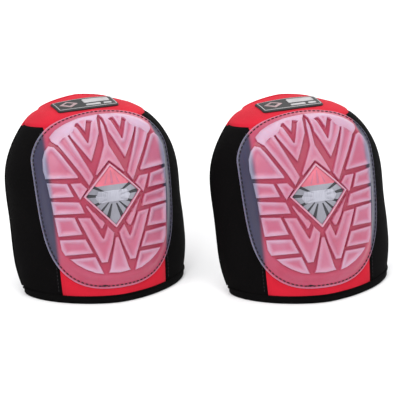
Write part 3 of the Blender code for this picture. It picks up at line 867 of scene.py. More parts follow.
def centre_place(u, v):
    """Panel down the front."""
    side = mix(-1.0, 1.0, u)
    seam = np.abs(place(np.full(v.shape, SEAM_HALF_WIDTH), YOKE_MIDDLE * v)[0])
    return side * seam, yoke_row(side * seam, -1.0) * v


def side_place(flank):
    """Panel between the centre panel and one rim."""
    def where(u, v):
        seam = np.abs(place(np.full(v.shape, SEAM_HALF_WIDTH + SEAM_GAP), YOKE_MIDDLE * v)[0])
        s = flank * mix(seam, 1.0, u)
        return s, yoke_row(s, -1.0) * v
    return where


def thigh_place(u, v):
    """Panel over the top."""
    s = mix(-1.0, 1.0, u)
    return s, mix(yoke_row(s, 1.0), 1.0, v)


def centre_edges(sheet, v):
    """Distance to the side seams and the yoke seam."""
    return np.minimum(SEAM_HALF_WIDTH - np.abs(sheet[:, 0]), (1.0 - v) * YOKE_MIDDLE)


def side_edges(sheet, v):
    """Distance to the centre panel's seam and the yoke seam."""
    return np.minimum(np.abs(sheet[:, 0]) - SEAM_HALF_WIDTH, (1.0 - v) * YOKE_MIDDLE)


def thigh_edges(_, v):
    """Distance to the yoke seam."""
    return v * YOKE_DEPTH


def build_covers():
    """Fabric panels and the stitches beside their seams."""
    for prefix, body, hand in PADS:
        panels = (
            ("front_cover", "center_panel", 76, 120, centre_place, centre_edges, "red_fabric"),
            ("thigh_cover", "thigh_panel", 110, 40, thigh_place, thigh_edges, "red_fabric"),
            ("outer_side_cover", "outer_side_panel", 36, 120, side_place(-1.0), side_edges,
             "black_fabric"),
            ("inner_side_cover", "inner_side_panel", 36, 120, side_place(1.0), side_edges,
             "black_fabric"),
        )
        for name, node, columns, rows, where, edges, key in panels:
            panel = cover(prefix + name, columns, rows, where, edges, hand)
            dress(panel, key)
            finish_piece(panel, body, key, prefix + node)
        spots = []
        for flank in (-1.0, 1.0):
            across = flank * (SEAM_HALF_WIDTH + COVER_STITCH_INSET)
            line = np.linspace((across, 12.0), (across, YOKE_MIDDLE - 4.0), 80)
            spots += stitches_along(line, -0.1, COVER_STITCH_PITCH)
        seams = stitch_row(prefix + "seam_stitches", spots, hand, *SEAM_STITCH)
        dress(seams, "thread")
        finish_piece(seams, body, "black_fabric")


# ---------------------------------------------------------------- cap

def block_outlines():
    """Every tread block on both halves, with the share of its pane's depth."""
    blocks = [(both_halves(TOP_BAND), 0.0)]
    blocks += [(both_halves(block), KEEL_PANE) for block in KEEL_BLOCKS]
    for block in TREAD_BLOCKS:
        blocks += [(list(block), 1.0), (mirrored(block), 1.0)]
    return blocks


# How milky each part of the cap is, from 0 to 1; the rim value is thicker rubber plus a painted
# highlight, and crest is a painted highlight on the blocks' top edges
MILK_AND_HIGHLIGHT = {"flange": 0.24, "edge": 0.3, "stitches": 0.1, "groove": 0.08, "rim": 0.66, "pane": 0.46,
        "crest_highlight": 0.08, "top_band": 0.78, "frame": 0.98, "under_plate": 0.3}


def hump(distance, width):
    """Bell curve over a distance."""
    return np.exp(-(distance / width) ** 2)


def cap_surface(flat):
    """Outer height, milkiness with painted highlights on the block rims, and share over black of
    points on the cap.
    """
    size = sizes()
    edge = inside_distance(cap_outline(), flat)
    seam = edge - STITCH_INSET
    floor, block_rise = size.groove_floor / MM, size.tread_height / MM
    height = mix(FLANGE_HEIGHT, floor, ease((edge - FLANGE_WIDTH) / FLANGE_SLOPE))
    height -= EDGE_DROP * (1.0 - ease(edge / EDGE_ROUND)) + STITCH_DIP * hump(seam, 0.8)
    milk = MILK_AND_HIGHLIGHT["flange"] + MILK_AND_HIGHLIGHT["edge"] * (1.0 - ease(edge - 1.0))
    milk -= MILK_AND_HIGHLIGHT["stitches"] * hump(seam, 0.9)
    milk = mix(milk, MILK_AND_HIGHLIGHT["groove"], raised(both_halves(TREAD_FIELD), flat, 0.6, 2.0))
    rise = np.zeros(len(flat))
    for outline, pane_share in block_outlines():
        depth = inside_distance(outline, flat)
        wall = ease((depth + 0.1) / WALL)
        pane = pane_share * ease((depth - RIM) / PANE_SLOPE)
        rise = np.maximum(rise, wall * (1.0 - PANE_DIP * pane))
        # Block rims are lighter partly from thicker rubber and partly as a painted highlight; the
        # crest term is a painted highlight along each block's top edge.
        shine = wall * mix(MILK_AND_HIGHLIGHT["rim"], MILK_AND_HIGHLIGHT["pane"], pane) + MILK_AND_HIGHLIGHT["crest_highlight"] * hump(depth - 1.3, 0.7)
        milk = np.maximum(milk, shine)
    milk = mix(milk, MILK_AND_HIGHLIGHT["top_band"], raised(both_halves(TOP_BAND), flat, 0.0, 4.0))
    height += rise * block_rise * mix(CROWN_START, 1.0, ease((edge - 6.0) / 12.0))
    ridge = np.minimum(inside_distance(DIAMOND, flat), -inside_distance(PLATE, flat))
    frame_wall = ease((ridge + 0.2) / 0.8)
    inside_plate = raised(PLATE, flat, 0.4, 0.5)
    height = mix(height, floor + block_rise + FRAME_RISE, frame_wall)
    height = mix(height, floor + block_rise - PLATE_LEDGE, inside_plate)
    milk = mix(mix(milk, MILK_AND_HIGHLIGHT["frame"], frame_wall), MILK_AND_HIGHLIGHT["under_plate"], inside_plate)
    beyond_seam = np.abs(flat[:, 0]) - SEAM_HALF_WIDTH
    black = ease((beyond_seam + OVER_BLACK_BLUR / 2.0) / OVER_BLACK_BLUR)
    return height, np.clip(milk, 0.0, 1.0), black


def cap_heights(flat):
    """Outer height of the cap."""
    return cap_surface(flat)[0]


def build_caps():
    """Treaded caps with their sewn flanges."""
    outline = cap_outline()
    rings = [shrunk(outline, inset)
             for inset in (0.5, EDGE_ROUND, 1.9, STITCH_INSET, 3.5, FLANGE_WIDTH)]
    rings.append(both_halves(TREAD_FIELD))
    for block, _ in block_outlines():
        rings.append(block)
        rings += [shrunk(block, inset) for inset in (0.55, WALL, RIM, RIM + PANE_SLOPE * 0.6)]
    rings += [DIAMOND, shrunk(DIAMOND, 0.7), shrunk(PLATE, -0.6), PLATE]
    seam = shrunk(outline, STITCH_INSET)
    loop = np.concatenate((seam, seam[:1]))
    tack = place(np.array([-16.0, -14.5, -13.0]), np.array([18.2, 18.6, 18.2]))
    for prefix, body, hand in PADS:
        cap, flat = moulded_piece(prefix + "treaded_cap", outline, rings, 1.7, cap_heights,
                                  CAP_BASE, hand, 42.0)
        _, milk, black = cap_surface(flat)
        # Milkiness per vertex, with painted highlights on the block rims.
        add_values(cap, "milk", milk)
        add_values(cap, "over_black", black)
        from_middle = np.hypot(flat[:, 0], (flat[:, 1] - 100.0) * 0.62)
        add_values(cap, "aside", ease((from_middle - 18.0) / 34.0))
        dress(cap, "cap")
        finish_piece(cap, body, "cap_rubber", prefix + "tread_cap")
        spots = stitches_along(loop, FLANGE_HEIGHT, sizes().stitch_pitch / MM)
        sideways = np.array((1.0, 0.0, 0.0))
        spots += [(point, sideways, out)
                  for point, out in zip(layer(*tack, FLANGE_HEIGHT + 0.2), outward(*tack))]
        stitches = stitch_row(prefix + "cap_stitches", spots, hand, *CAP_STITCH)
        dress(stitches, "thread")
        finish_piece(stitches, body, "black_fabric")


def paint_regions(piece, flat, regions):
    """Material index of every face from the outline that its middle lies in."""
    data = piece.data
    middles = np.array([flat[list(face.vertices)].mean(axis=0) for face in data.polygons])
    index = np.zeros(len(middles), dtype=np.int32)
    for outline, material in regions:
        index[inside_distance(outline, middles) > 0.0] = material
    data.polygons.foreach_set("material_index", index)


def wedge(first, last):
    """One ray of the plate between two angles in degrees."""
    (near, far), (x, y) = RAY_REACH, RAY_CENTRE
    return [(x + reach * math.cos(math.radians(angle)), y + reach * math.sin(math.radians(angle)))
            for reach, angle in ((near, first), (far, first), (far, last), (near, last))]


def build_plates():
    """Diamond plates with plain rays."""
    base = (sizes().groove_floor + sizes().tread_height) / MM
    rays = [wedge(*angles) for angles in RAY_ANGLES]
    rays += [mirrored(ray) for ray in rays]
    upper = ((-24.0, PLATE_SPLIT), (24.0, PLATE_SPLIT), (0.0, 140.0))
    streaks = [((-1.2, 116.4), (1.2, 116.4), (0.5, 128.6), (-0.5, 128.6)),
               ((6.0, 116.4), (7.4, 116.4), (3.6, 126.0), (3.0, 126.0))]
    streaks.append(mirrored(streaks[1]))
    bars = [NAME_BAR, *streaks]
    outline = shrunk(PLATE, -0.45)

    def heights(flat):
        rise = base - 0.2 - 0.5 * (1.0 - raised(outline, flat, 0.0, 0.7))
        for ray in rays:
            rise -= RELIEF * raised(ray, flat, 0.05, 0.4)
        for bar in bars:
            rise += RELIEF * raised(bar, flat, 0.05, 0.5)
        return rise

    rings = [shrunk(outline, 0.7), *rays, *bars, upper]
    rings += [shrunk(shape, 0.45) for shape in [*rays, *bars]]
    for prefix, body, hand in PADS:
        plate, flat = moulded_piece(prefix + "diamond_plate", outline, rings, 1.6, heights,
                                    base - 1.0, hand, 40.0)
        dress(plate, "silver", "steel_dark", "steel_light", "plate_red", "plate_pink")
        regions = [(upper, 3), *((ray, 1) for ray in rays), (NAME_BAR, 2)]
        paint_regions(plate, flat, regions + [(bar, 4) for bar in streaks])
        finish_piece(plate, body, "badge_silver", prefix + "badge_plate")


# ---------------------------------------------------------------- label

def build_labels():
    """Rubber labels with a plain border, lozenge and bars."""
    low, high = (-LABEL_HALF_WIDTH, LABEL_SPAN[0]), (LABEL_HALF_WIDTH, LABEL_SPAN[1])
    outline = rounded_box(low, high, 2.6)
    border = rounded_box((low[0] + 1.9, low[1] + 1.9), (high[0] - 1.9, high[1] - 1.9), 1.6)
    within = rounded_box((low[0] + 2.7, low[1] + 2.7), (high[0] - 2.7, high[1] - 2.7), 1.0)
    lozenge = ((-26.5, 214.8), (-17.5, 222.8), (-8.5, 214.8), (-17.5, 206.8))
    inner_lozenge = ((-22.6, 214.8), (-17.5, 219.2), (-12.4, 214.8), (-17.5, 210.4))
    bars = [rounded_box((-2.5, 213.4), (25.0, 223.6), 1.6),
            rounded_box((-2.5, 206.2), (13.0, 210.0), 1.1),
            rounded_box((16.0, 206.2), (25.0, 210.0), 1.1)]
    shapes = [lozenge, *bars]

    def heights(flat):
        rise = LABEL_HEIGHT - 0.8 * (1.0 - raised(outline, flat, 0.0, 1.1))
        line = np.minimum(inside_distance(border, flat), -inside_distance(within, flat))
        rise += 0.35 * ease((line + 0.1) / 0.3)
        for shape in shapes:
            rise += PRINT_RISE * raised(shape, flat, 0.05, 0.35)
        return rise - PRINT_RISE * raised(inner_lozenge, flat, 0.05, 0.35)

    rings = [shrunk(outline, 1.1), border, within, inner_lozenge, *shapes]
    rings += [shrunk(shape, 0.35) for shape in shapes]
    for prefix, body, hand in PADS:
        label, flat = moulded_piece(prefix + "rubber_label", outline, rings, 1.5, heights, 0.35,
                                    hand, 40.0)
        dress(label, "label_rubber", "label_print", "label_emblem")
        paint_regions(label, flat, [(border, 1), (within, 0), (lozenge, 2), (inner_lozenge, 0),
                                    *((bar, 1) for bar in bars)])
        finish_piece(label, body, "label_rubber", prefix + "top_label")


# ---------------------------------------------------------------- edges

def rounded_section(corners, radius, steps=3):
    """Closed cross-section with rounded corners."""
    corners = np.array(corners, dtype=float)
    points = []
    behind, ahead = np.roll(corners, 1, axis=0), np.roll(corners, -1, axis=0)
    for before, corner, after in zip(behind, corners, ahead):
        start = corner + unit(before - corner) * min(radius, np.linalg.norm(before - corner) / 2.0)
        end = corner + unit(after - corner) * min(radius, np.linalg.norm(after - corner) / 2.0)
        for share in np.linspace(0.0, 1.0, steps + 1):
            rest = 1.0 - share
            points.append(rest ** 2 * start + 2 * share * rest * corner + share ** 2 * end)
    return points


HEM_END_REACH = 3.4
TAPE_FOOT = 8.2
HEM_SECTION = rounded_section(
    ((0.2, 0.0), (1.3, 0.8), (1.5, 4.2), (1.2, 7.0), (0.4, 7.6), (0.15, 6.5), (0.0, 6.1),
     (-12.6, 6.1), (-13.0, 5.0), (-13.0, 0.8), (-12.4, 0.0)), 1.0, 2)
TAPE_SECTION = rounded_section(((0.6, 0.7), (3.0, 0.5), (3.5, -0.9), (3.5, -11.8), (3.2, -13.2),
                                (0.6, -13.4)), 1.4, 3)


def build_edges():
    """Rolled hem and edge tape, with their stitches."""
    places = (-1.0, *np.linspace(-1.0, 1.0, 121), 1.0)
    for prefix, body, hand in PADS:
        rings = []
        for number, s in enumerate(places):
            capped = number in (0, len(places) - 1)
            foot, normal = fabric(s, 0.0), outward(s, 0.0)
            if capped:
                foot = foot + (0.0, HEM_END_REACH, 0.0)
            ring = []
            for out, rise in HEM_SECTION:
                if rise > 6.0 and out > 0.1 and not capped:
                    ring.append(fabric(s, row_at_height(s, rise)) + normal * out)
                else:
                    ring.append(foot + normal * out + (0.0, 0.0, rise))
            rings.append(ring)
        hem = swept_piece(prefix + "hem_roll", rings, hand)
        dress(hem, "black_tape")
        finish_piece(hem, body, "black_fabric", prefix + "bottom_hem")
        build_tape(prefix, body, hand)


def tape_path():
    """(s, q) round the open edge, from the right foot over the top to the left foot."""
    foot = float(row_at_height(1.0, TAPE_FOOT))
    side = [(1.0, q) for q in np.linspace(foot, 1.0, 61)]
    top = [(s, 1.0) for s in np.linspace(1.0, -1.0, 61)[1:-1]]
    return side + top + [(-1.0, q) for _, q in side[::-1]]


def build_tape(prefix, body, hand):
    """Tape over the layers' edges, red where it runs along the thigh panel."""
    path = tape_path()
    points = np.array([fabric(s, q) for s, q in path])
    rings = []
    for index, (s, q) in enumerate(path):
        before = unit(points[index] - points[index - 1]) if index else None
        after = unit(points[index + 1] - points[index]) if index + 1 < len(path) else before
        before = after if before is None else before
        normal = outward(s, q)
        beyond = unit(np.cross(unit(before + after), normal))
        half_turn = math.acos(min(1.0, float(before @ after))) / 2.0
        rings.append([layer(s, q, height) + beyond * out / max(math.cos(half_turn), 0.5)
                      for out, height in TAPE_SECTION])
    tape = swept_piece(prefix + "edge_tape", rings, hand)
    dress(tape, "black_tape", "red_tape")
    around = len(TAPE_SECTION)
    heights = np.array([measured(s, q)[1] for s, q in path])
    index = np.zeros(len(tape.data.polygons), dtype=np.int32)
    red = np.repeat(heights[:-1] >= YOKE_RIM - 1.0, around)
    index[:len(red)] = red
    tape.data.polygons.foreach_set("material_index", index)
    finish_piece(tape, body, "binding_tape", prefix + "edge_binding")


# ---------------------------------------------------------------- inside

def rounded_square(u, v, power=4.0):
    """Grid of a square drawn in to rounded corners, from -1 to 1."""
    x, y = mix(-1.0, 1.0, u), mix(-1.0, 1.0, v)
    round_x, round_y = x * np.sqrt(1.0 - y * y / 2.0), y * np.sqrt(1.0 - x * x / 2.0)
    radius = np.hypot(round_x, round_y)
    reach = np.maximum((np.abs(round_x) ** power + np.abs(round_y) ** power) ** (1.0 / power), 1e-9)
    return round_x * radius / reach, round_y * radius / reach


# Heights over the fabric, then span across, span up and number of sewn channels
CUSHION_BACK = -13.3
CUSHION_EDGE = -13.6
CUSHION_SWELL = 4.9
CUSHION_ROUND = 0.42
LINING_FACES = (-11.4, -12.7)
CUSHIONS = {
    "thigh_cushion": ((-0.6, 0.6), (0.7, 0.91), 3),
    "shin_cushion": ((-0.36, 0.36), (0.08, 0.36), 3),
    "outer_side_cushion": ((-0.82, -0.42), (0.12, 0.66), 2),
    "inner_side_cushion": ((0.42, 0.82), (0.12, 0.66), 2),
}


def cushion(name, s_span, q_span, channels, hand):
    """Padded cushion with rounded corners, sewn channels and a crowned inner face."""
    upright = channels == 2

    def shape(u, v, side):
        x, y = rounded_square(u, v)
        s, q = mix(*s_span, (x + 1.0) / 2.0), mix(*q_span, (y + 1.0) / 2.0)
        edge = 1.0 - np.maximum(np.abs(mix(-1.0, 1.0, u)), np.abs(mix(-1.0, 1.0, v)))
        inset = np.clip(edge / CUSHION_ROUND, 0.0, 1.0)
        rise = np.sqrt(inset * (2.0 - inset))
        run = (y if upright else x) * channels / 2.0
        channel = np.abs(np.sin((run + channels / 2.0) * math.pi)) ** 0.45
        swell = rise * mix(0.45, 1.0, channel)
        pucker = 0.18 * np.sin(34.0 * x) * np.sin(29.0 * y) * rise
        inner = CUSHION_EDGE - CUSHION_SWELL * swell + pucker
        outer = CUSHION_BACK + 0.5 * rise
        sheet = measured(s, q)
        return in_world(layer(s, q, np.where(side > 0.5, inner, outer)), hand), sheet
    return cloth_piece(name, 72, 72, shape, 80.0)


def build_inside():
    """Lining and comfort cushions, and looks for the foam and gel."""
    for prefix, body, hand in PADS:
        def lining_shape(u, v, side):
            s = mix(-1.0, 1.0, u)
            q = mix(row_at_height(s, HEM_TOP), 1.0, v)
            return in_world(layer(s, q, mix(*LINING_FACES, side)), hand), measured(s, q)

        lining = cloth_piece(prefix + "lining_cloth", 90, 80, lining_shape)
        dress(lining, "lining")
        finish_piece(lining, body, "lining_fabric", prefix + "lining")
        for label, (s_span, q_span, channels) in CUSHIONS.items():
            pad = cushion(prefix + label + "_pad", s_span, q_span, channels, hand)
            dress(pad, "cushion")
            finish_piece(pad, body, "cushion_fabric", prefix + label)
        for node, key in (("foam_shell", "foam"), ("gel_core", "gel")):
            dress(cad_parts[prefix + node], key)


# ---------------------------------------------------------------- straps

def strap_plane(level):
    """Depth of the upright plane that a strap's parts are measured from."""
    return float(fabric(1.0, row_at_height(1.0, level + RING_HALF_HEIGHT))[1])


def flowing(start, start_pull, end_pull, end, steps=7):
    """Smooth curve between two points, leaving and arriving towards the pulls."""
    shares = np.linspace(0.0, 1.0, steps)
    left = 1.0 - shares
    pulls = (left ** 3, 3 * left ** 2 * shares, 3 * left * shares ** 2, shares ** 3)
    return np.stack(pulls, -1) @ np.array((start, start_pull, end_pull, end), dtype=float)


def ribbon(name, rows, thickness, hand, sides=0.3):
    """Webbing whose middle surface is given by rows of points, bottom row first."""
    rows = np.array(rows)
    along = unit(np.gradient(rows, axis=1))
    face = unit(np.cross(along, (0.0, 0.0, 1.0)))
    last_row, last_column = rows.shape[0] - 1, rows.shape[1] - 1
    lengths = running(rows[last_row // 2])

    def shape(u, v, side):
        row = np.rint(v * last_row).astype(int)
        column = np.rint(u * last_column).astype(int)
        offset = face[row, column] * ((0.5 - side) * thickness)[:, None]
        sheet = np.stack((lengths[column], rows[row, column, 2]), -1)
        return in_world(rows[row, column] + offset, hand), sheet

    piece = cloth_piece(name, last_column, last_row, shape, 50.0)
    rounded_edges(piece, sides, 2, 60.0)
    return piece


def edge_to_edge(level):
    """Heights of a strap's rows from its lower edge to its upper edge."""
    return np.linspace(level - STRAP_HALF_WIDTH, level + STRAP_HALF_WIDTH, 9)


def sewn_end(shares, level, height):
    """Points of a webbing row that lies inside a rim."""
    return layer(np.array(shares), row_at_height(1.0, level), height)


def strap_rows(level):
    """Middle surface of a strap, from its tail inside the left rim to its folded end."""
    plane = strap_plane(level)
    back, lying = CLIP_BAR[1] + CLIP_LOOP, STRAP_DEPTH + FOLD_GAP
    free = [(x, STRAP_DEPTH) for x in np.linspace(STRAP_ROOT + 4.0, 41.0, 30)]
    free += arc(CLIP_BAR, CLIP_LOOP, -90, 90, 11)
    free += flowing((41.0, back), (36.0, back), (33.0, lying), (28.0, lying), 6).tolist()
    free += [(x, lying) for x in np.linspace(24.0, 8.0, 6)]
    rows = []
    for z in edge_to_edge(level):
        tail = sewn_end((-0.88, -0.92, -0.96, -1.0), z, SEWN_HEIGHT)
        start = (tail[-1][0], tail[-1][1] - plane)
        bend = flowing(start, (start[0], STRAP_DEPTH - 0.6), (start[0] + 1.0, STRAP_DEPTH),
                       (STRAP_ROOT, STRAP_DEPTH), 8)
        plan = [*bend[1:], *free]
        rows.append([(x, y, z) for x, y, _ in tail] + [(x, y + plane, z) for x, y in plan])
    return rows


def patch_rows(flank, level):
    """Middle surface of a webbing patch sewn inside one rim."""
    rows = []
    for z in edge_to_edge(level):
        points = sewn_end(flank * np.linspace(0.86, 1.0, 8), z, PATCH_HEIGHT)
        end = (points[-1][0], strap_plane(level) + 3.0, z)
        rows.append([*((x, y, z) for x, y, _ in points), end])
    return rows


def tab_rows(level):
    """Middle surface of the webbing loop that holds the ring at the right rim."""
    plane = strap_plane(level)
    loop = [*TAB_START, *arc(RING_BAR, TAB_LOOP, 10, 215, 12), TAB_END]
    rows = []
    for z in edge_to_edge(level):
        tail = sewn_end((1.0, 0.96, 0.92, 0.88), z, SEWN_HEIGHT)
        rows.append([(x, y + plane, z) for x, y in loop] + [(x, y, z) for x, y, _ in tail])
    return rows


def world_point(point, hand):
    """One point of a pad's frame in metres."""
    return tuple(in_world(np.array([point], dtype=float), hand)[0])


def detailed_clip(name, node):
    """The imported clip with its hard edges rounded."""
    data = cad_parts[node].data.copy()
    clip = bpy.data.objects.new(name, data)
    data.name = name
    bpy.context.collection.objects.link(clip)
    only(clip)
    bpy.ops.object.mode_set(mode="EDIT")
    bpy.ops.mesh.select_all(action="SELECT")
    bpy.ops.mesh.remove_doubles(threshold=1e-5)
    bpy.ops.mesh.dissolve_limited(angle_limit=math.radians(2.0))
    bpy.ops.object.mode_set(mode="OBJECT")
    rounded_edges(clip, CLIP_ROUNDING, 3, 30.0)
    return tidy_piece(clip, 45.0)


def wire_ring(name, level, hand):
    """Rectangular wire ring with rounded corners, on the bar that the tab holds."""
    plane, radius = strap_plane(level), RING_CORNER
    corners = []
    for turn, (x, z) in enumerate(((0.0, RING_HALF_HEIGHT), (-RING_REACH, RING_HALF_HEIGHT),
                                   (-RING_REACH, -RING_HALF_HEIGHT), (0.0, -RING_HALF_HEIGHT))):
        middle = (x - radius if x == 0.0 else x + radius, z - math.copysign(radius, z))
        corners += arc(middle, radius, turn * 90, turn * 90 + 90, 6)
    bpy.ops.object.select_all(action="DESELECT")
    wire = bpy.data.curves.new(name, "CURVE")
    wire.dimensions = "3D"
    wire.bevel_depth = RING_WIRE * MM
    wire.bevel_resolution = 5
    spline = wire.splines.new("POLY")
    spline.points.add(len(corners) - 1)
    for point, (x, z) in zip(spline.points, corners):
        point.co = (*world_point((RING_BAR[0] + x, RING_BAR[1] + plane, level + z), hand), 1.0)
    spline.use_cyclic_u = True
    ring = bpy.data.objects.new(name, wire)
    bpy.context.collection.objects.link(ring)
    only(ring)
    bpy.ops.object.convert(target="MESH")
    return tidy_piece(bpy.context.object, 60.0)


def box_stitches(level, hand, name):
    """Stitched box that holds the strap's folded end."""
    depth = strap_plane(level) + STRAP_DEPTH + FOLD_GAP + 0.85
    back, pitch = np.array((0.0, 1.0, 0.0)), 2.8
    lower_left, lower_right, upper_right, upper_left = (10, -11), (24, -11), (24, 11), (10, 11)
    spots = []
    for line in ((lower_left, lower_right), (lower_right, upper_right), (upper_right, upper_left),
                 (upper_left, lower_left), (lower_left, upper_right)):
        start, end = np.array(line, dtype=float)
        length = np.linalg.norm(end - start)
        along = np.array(((end - start)[0], 0.0, (end - start)[1])) / length
        count = int(length / pitch)
        for share in (np.arange(count) + 0.5) / count:
            x, z = mix(start, end, share)
            spots.append((np.array((x, depth, level + z)), along, back))
    return stitch_row(name, spots, hand, *BOX_STITCH)


def build_straps():
    """Webbing straps, hook clips, rings and their tabs."""
    for prefix, body, hand in PADS:
        for label, level in STRAP_LEVELS.items():
            group = prefix + label + "_"
            plane = strap_plane(level)
            strap = ribbon(group + "strap_webbing", strap_rows(level), STRAP_THICKNESS, hand)
            dress(strap, "webbing")
            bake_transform(strap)
            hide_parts(group + "strap")
            for name, rows in (("strap_patch", patch_rows(-1.0, level)),
                               ("ring_patch", patch_rows(1.0, level)),
                               ("ring_tab", tab_rows(level))):
                piece = ribbon(group + name + "_webbing", rows, PATCH_THICKNESS, hand)
                dress(piece, "webbing")
                finish_piece(piece, body, "webbing", group + name)
            clip = detailed_clip(group + "hook_clip", group + "strap_clip")
            dress(clip, "buckle")
            finish_piece(clip, group + "strap_clip_body", "buckle_plastic", group + "strap_clip")
            ring = wire_ring(group + "wire_ring", level, hand)
            dress(ring, "ring")
            finish_piece(ring, group + "strap_ring_body", "ring_metal", group + "strap_ring")
            box = box_stitches(level, hand, group + "strap_stitches")
            dress(box, "thread")
            finish_piece(box, group + "strap_body", "webbing")


# ---------------------------------------------------------------- stage

AIM = (0.00277, -0.00569, 0.08107)
CAMERA_ELEVATION = math.radians(22.66)
FRAME_WIDTH = 0.3883
SENSOR_WIDTH = 36.0
SKY_STRENGTH = 0.8
FLOOR_COLOURS = ((0.2, (0.86, 0.86, 0.87)), (0.8, (0.9, 0.9, 0.905)))
LIGHTS = (("key_light", (-0.9, -1.3, 1.5), 1.3, 22.0), ("fill_light", (1.3, -1.1, 0.9), 1.4, 10.0),
          ("top_light", (0.1, 0.3, 1.8), 1.6, 16.0), ("back_light", (0.6, 1.5, 1.1), 1.2, 8.0))


def aim(thing, target):
    """Turn a light or camera towards a point."""
    thing.rotation_euler = (Vector(target) - thing.location).to_track_quat("-Z", "Y").to_euler()


def area_light(name, location, size, power):
    """Soft square light aimed at the pads, size in metres and power in watts."""
    bpy.ops.object.light_add(type="AREA", location=location)
    light = bpy.context.object
    light.name = light.data.name = name
    light.data.size = size
    light.data.energy = power
    aim(light, AIM)


def build_stage():
    """Pale floor, soft lights and the camera."""
    bpy.ops.object.select_all(action="DESELECT")
    bpy.ops.mesh.primitive_plane_add(size=14.0)
    floor = bpy.context.object
    floor.name = floor.data.name = "floor"
    look = Look("pale_floor", 0.9)
    grain = look.noise(look.coords.outputs["Object"], 3.0, 2.0)
    look.paint(look.ramp(grain, FLOOR_COLOURS))
    floor.data.materials.append(look.material)
    for light in LIGHTS:
        area_light(*light)
    world = bpy.data.worlds.new("pale_world")
    world.use_nodes = True
    sky = world.node_tree.nodes["Background"]
    sky.inputs["Color"].default_value = (1.0, 1.0, 1.0, 1.0)
    sky.inputs["Strength"].default_value = SKY_STRENGTH
    bpy.context.scene.world = world
    distance = sizes().camera_distance
    back = Vector((0.0, -math.cos(CAMERA_ELEVATION), math.sin(CAMERA_ELEVATION)))
    bpy.ops.object.camera_add(location=Vector(AIM) + back * distance)
    camera = bpy.context.object
    camera.name = camera.data.name = "camera"
    camera.data.sensor_width = SENSOR_WIDTH
    camera.data.lens = SENSOR_WIDTH * distance / FRAME_WIDTH
    camera.data.clip_end = distance * 10.0
    aim(camera, AIM)
    bpy.context.scene.camera = camera
    bpy.context.scene.view_settings.view_transform = "Standard"


# ---------------------------------------------------------------- add-on

def colour_property(name, description, default):
    """Colour setting."""
    return bpy.props.FloatVectorProperty(name=name, description=description, default=default,
                                         subtype="COLOR", size=3, min=0.0, max=1.0)


class KneePadSizes(bpy.types.PropertyGroup):
    """Sizes that a user may change."""

    tread_height: bpy.props.FloatProperty(
        name="Tread height", description="How far the tread blocks stand over the grooves",
        default=0.0027, min=0.0005, max=0.003, unit="LENGTH")
    groove_floor: bpy.props.FloatProperty(
        name="Groove floor", description="Height of the groove floor over the fabric",
        default=0.0048, min=0.003, max=0.005, unit="LENGTH")
    stitch_pitch: bpy.props.FloatProperty(
        name="Stitch pitch", description="Distance from one stitch of the cap to the next",
        default=0.0043, min=0.003, max=0.008, unit="LENGTH")
    camera_distance: bpy.props.FloatProperty(
        name="Camera distance", description="Distance from the camera to the pads",
        default=6.0, min=2.0, max=12.0, unit="LENGTH")


class KneePadColours(bpy.types.PropertyGroup):
    """Colours that a user may change."""

    red: colour_property("Red fabric", "Front and thigh panels", (0.6, 0.011, 0.031))
    black: colour_property("Black fabric", "Side panels, hem and tape", (0.0026, 0.0022, 0.0024))
    lining: colour_property("Lining", "Mesh on the inner face", (0.03, 0.03, 0.033))
    cushion: colour_property("Cushions", "Cloth of the comfort cushions", (0.05, 0.05, 0.055))
    cap_over_red: colour_property("Cap grooves", "Thin rubber over red", (0.36, 0.034, 0.08))
    cap_middle: colour_property("Cap panes", "Thicker rubber over red", (0.4, 0.115, 0.19))
    cap_thick: colour_property("Cap rims", "Thickest rubber over red", (0.47, 0.245, 0.32))
    cap_side: colour_property("Cap sides", "Thickest rubber at the sides", (0.45, 0.33, 0.44))
    cap_over_black: colour_property("Cap band", "Thin rubber over black", (0.031, 0.028, 0.064))
    cap_black_thick: colour_property("Cap haze", "Thick rubber over black", (0.3, 0.29, 0.4))
    silver: colour_property("Silver plate", "Lower part of the diamond plate", (0.25, 0.25, 0.29))
    plate_red: colour_property("Red plate", "Upper part of the diamond plate", (0.54, 0.11, 0.165))


class KNEEPAD_OT_covers(bpy.types.Operator):
    """Sew the red and black fabric panels"""

    bl_idname = "kneepad.covers"
    bl_label = "Fabric covers"

    def execute(self, context):
        build_covers()
        return {"FINISHED"}


class KNEEPAD_OT_caps(bpy.types.Operator):
    """Mould the treaded caps and stitch them on"""

    bl_idname = "kneepad.caps"
    bl_label = "Treaded caps"

    def execute(self, context):
        build_caps()
        return {"FINISHED"}


class KNEEPAD_OT_plates(bpy.types.Operator):
    """Set the diamond plates into the caps"""

    bl_idname = "kneepad.plates"
    bl_label = "Diamond plates"

    def execute(self, context):
        build_plates()
        return {"FINISHED"}


class KNEEPAD_OT_labels(bpy.types.Operator):
    """Mould the rubber labels on the thigh panels"""

    bl_idname = "kneepad.labels"
    bl_label = "Labels"

    def execute(self, context):
        build_labels()
        return {"FINISHED"}


class KNEEPAD_OT_edges(bpy.types.Operator):
    """Roll the hems and fold the edge tape"""

    bl_idname = "kneepad.edges"
    bl_label = "Hems and edge tape"

    def execute(self, context):
        build_edges()
        return {"FINISHED"}


class KNEEPAD_OT_inside(bpy.types.Operator):
    """Line the shells and sew in the cushions"""

    bl_idname = "kneepad.inside"
    bl_label = "Lining and cushions"

    def execute(self, context):
        build_inside()
        return {"FINISHED"}


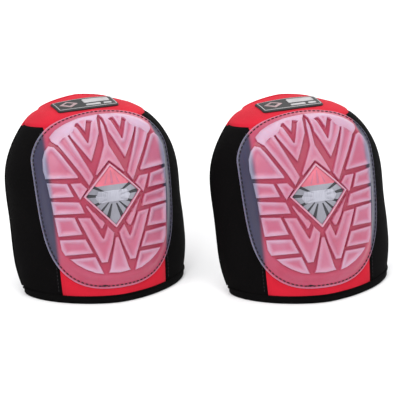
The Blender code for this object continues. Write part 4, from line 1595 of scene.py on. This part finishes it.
class KNEEPAD_OT_straps(bpy.types.Operator):
    """Make the straps, clips, rings and tabs"""

    bl_idname = "kneepad.straps"
    bl_label = "Straps and hardware"

    def execute(self, context):
        build_straps()
        return {"FINISHED"}


class KNEEPAD_OT_stage(bpy.types.Operator):
    """Set the floor, the lights and the camera"""

    bl_idname = "kneepad.stage"
    bl_label = "Stage"

    def execute(self, context):
        build_stage()
        return {"FINISHED"}


OPERATORS = (KNEEPAD_OT_covers, KNEEPAD_OT_caps, KNEEPAD_OT_plates, KNEEPAD_OT_labels,
             KNEEPAD_OT_edges, KNEEPAD_OT_inside, KNEEPAD_OT_straps, KNEEPAD_OT_stage)


class KNEEPAD_PT_sidebar(bpy.types.Panel):
    """Sizes, colours and building steps of the knee pads"""

    bl_idname = "KNEEPAD_PT_sidebar"
    bl_label = "Knee pads"
    bl_space_type = "VIEW_3D"
    bl_region_type = "UI"
    bl_category = "Knee pads"

    def draw(self, context):
        for group in (context.scene.knee_pad_sizes, context.scene.knee_pad_colours):
            for name in group.__annotations__:
                self.layout.prop(group, name)
        for operator in OPERATORS:
            self.layout.operator(operator.bl_idname)


CLASSES = (KneePadSizes, KneePadColours, *OPERATORS, KNEEPAD_PT_sidebar)


def register():
    """Add the classes and the settings."""
    for cls in CLASSES:
        bpy.utils.register_class(cls)
    bpy.types.Scene.knee_pad_sizes = bpy.props.PointerProperty(type=KneePadSizes)
    bpy.types.Scene.knee_pad_colours = bpy.props.PointerProperty(type=KneePadColours)


def unregister():
    """Remove the settings and the classes."""
    del bpy.types.Scene.knee_pad_colours
    del bpy.types.Scene.knee_pad_sizes
    for cls in reversed(CLASSES):
        bpy.utils.unregister_class(cls)


def main():
    """Build everything."""
    register()
    bpy.ops.kneepad.covers()
    bpy.ops.kneepad.caps()
    bpy.ops.kneepad.plates()
    bpy.ops.kneepad.labels()
    bpy.ops.kneepad.edges()
    bpy.ops.kneepad.inside()
    bpy.ops.kneepad.straps()
    bpy.ops.kneepad.stage()
    bpy.context.view_layer.update()


if __name__ == "__main__":
    main()
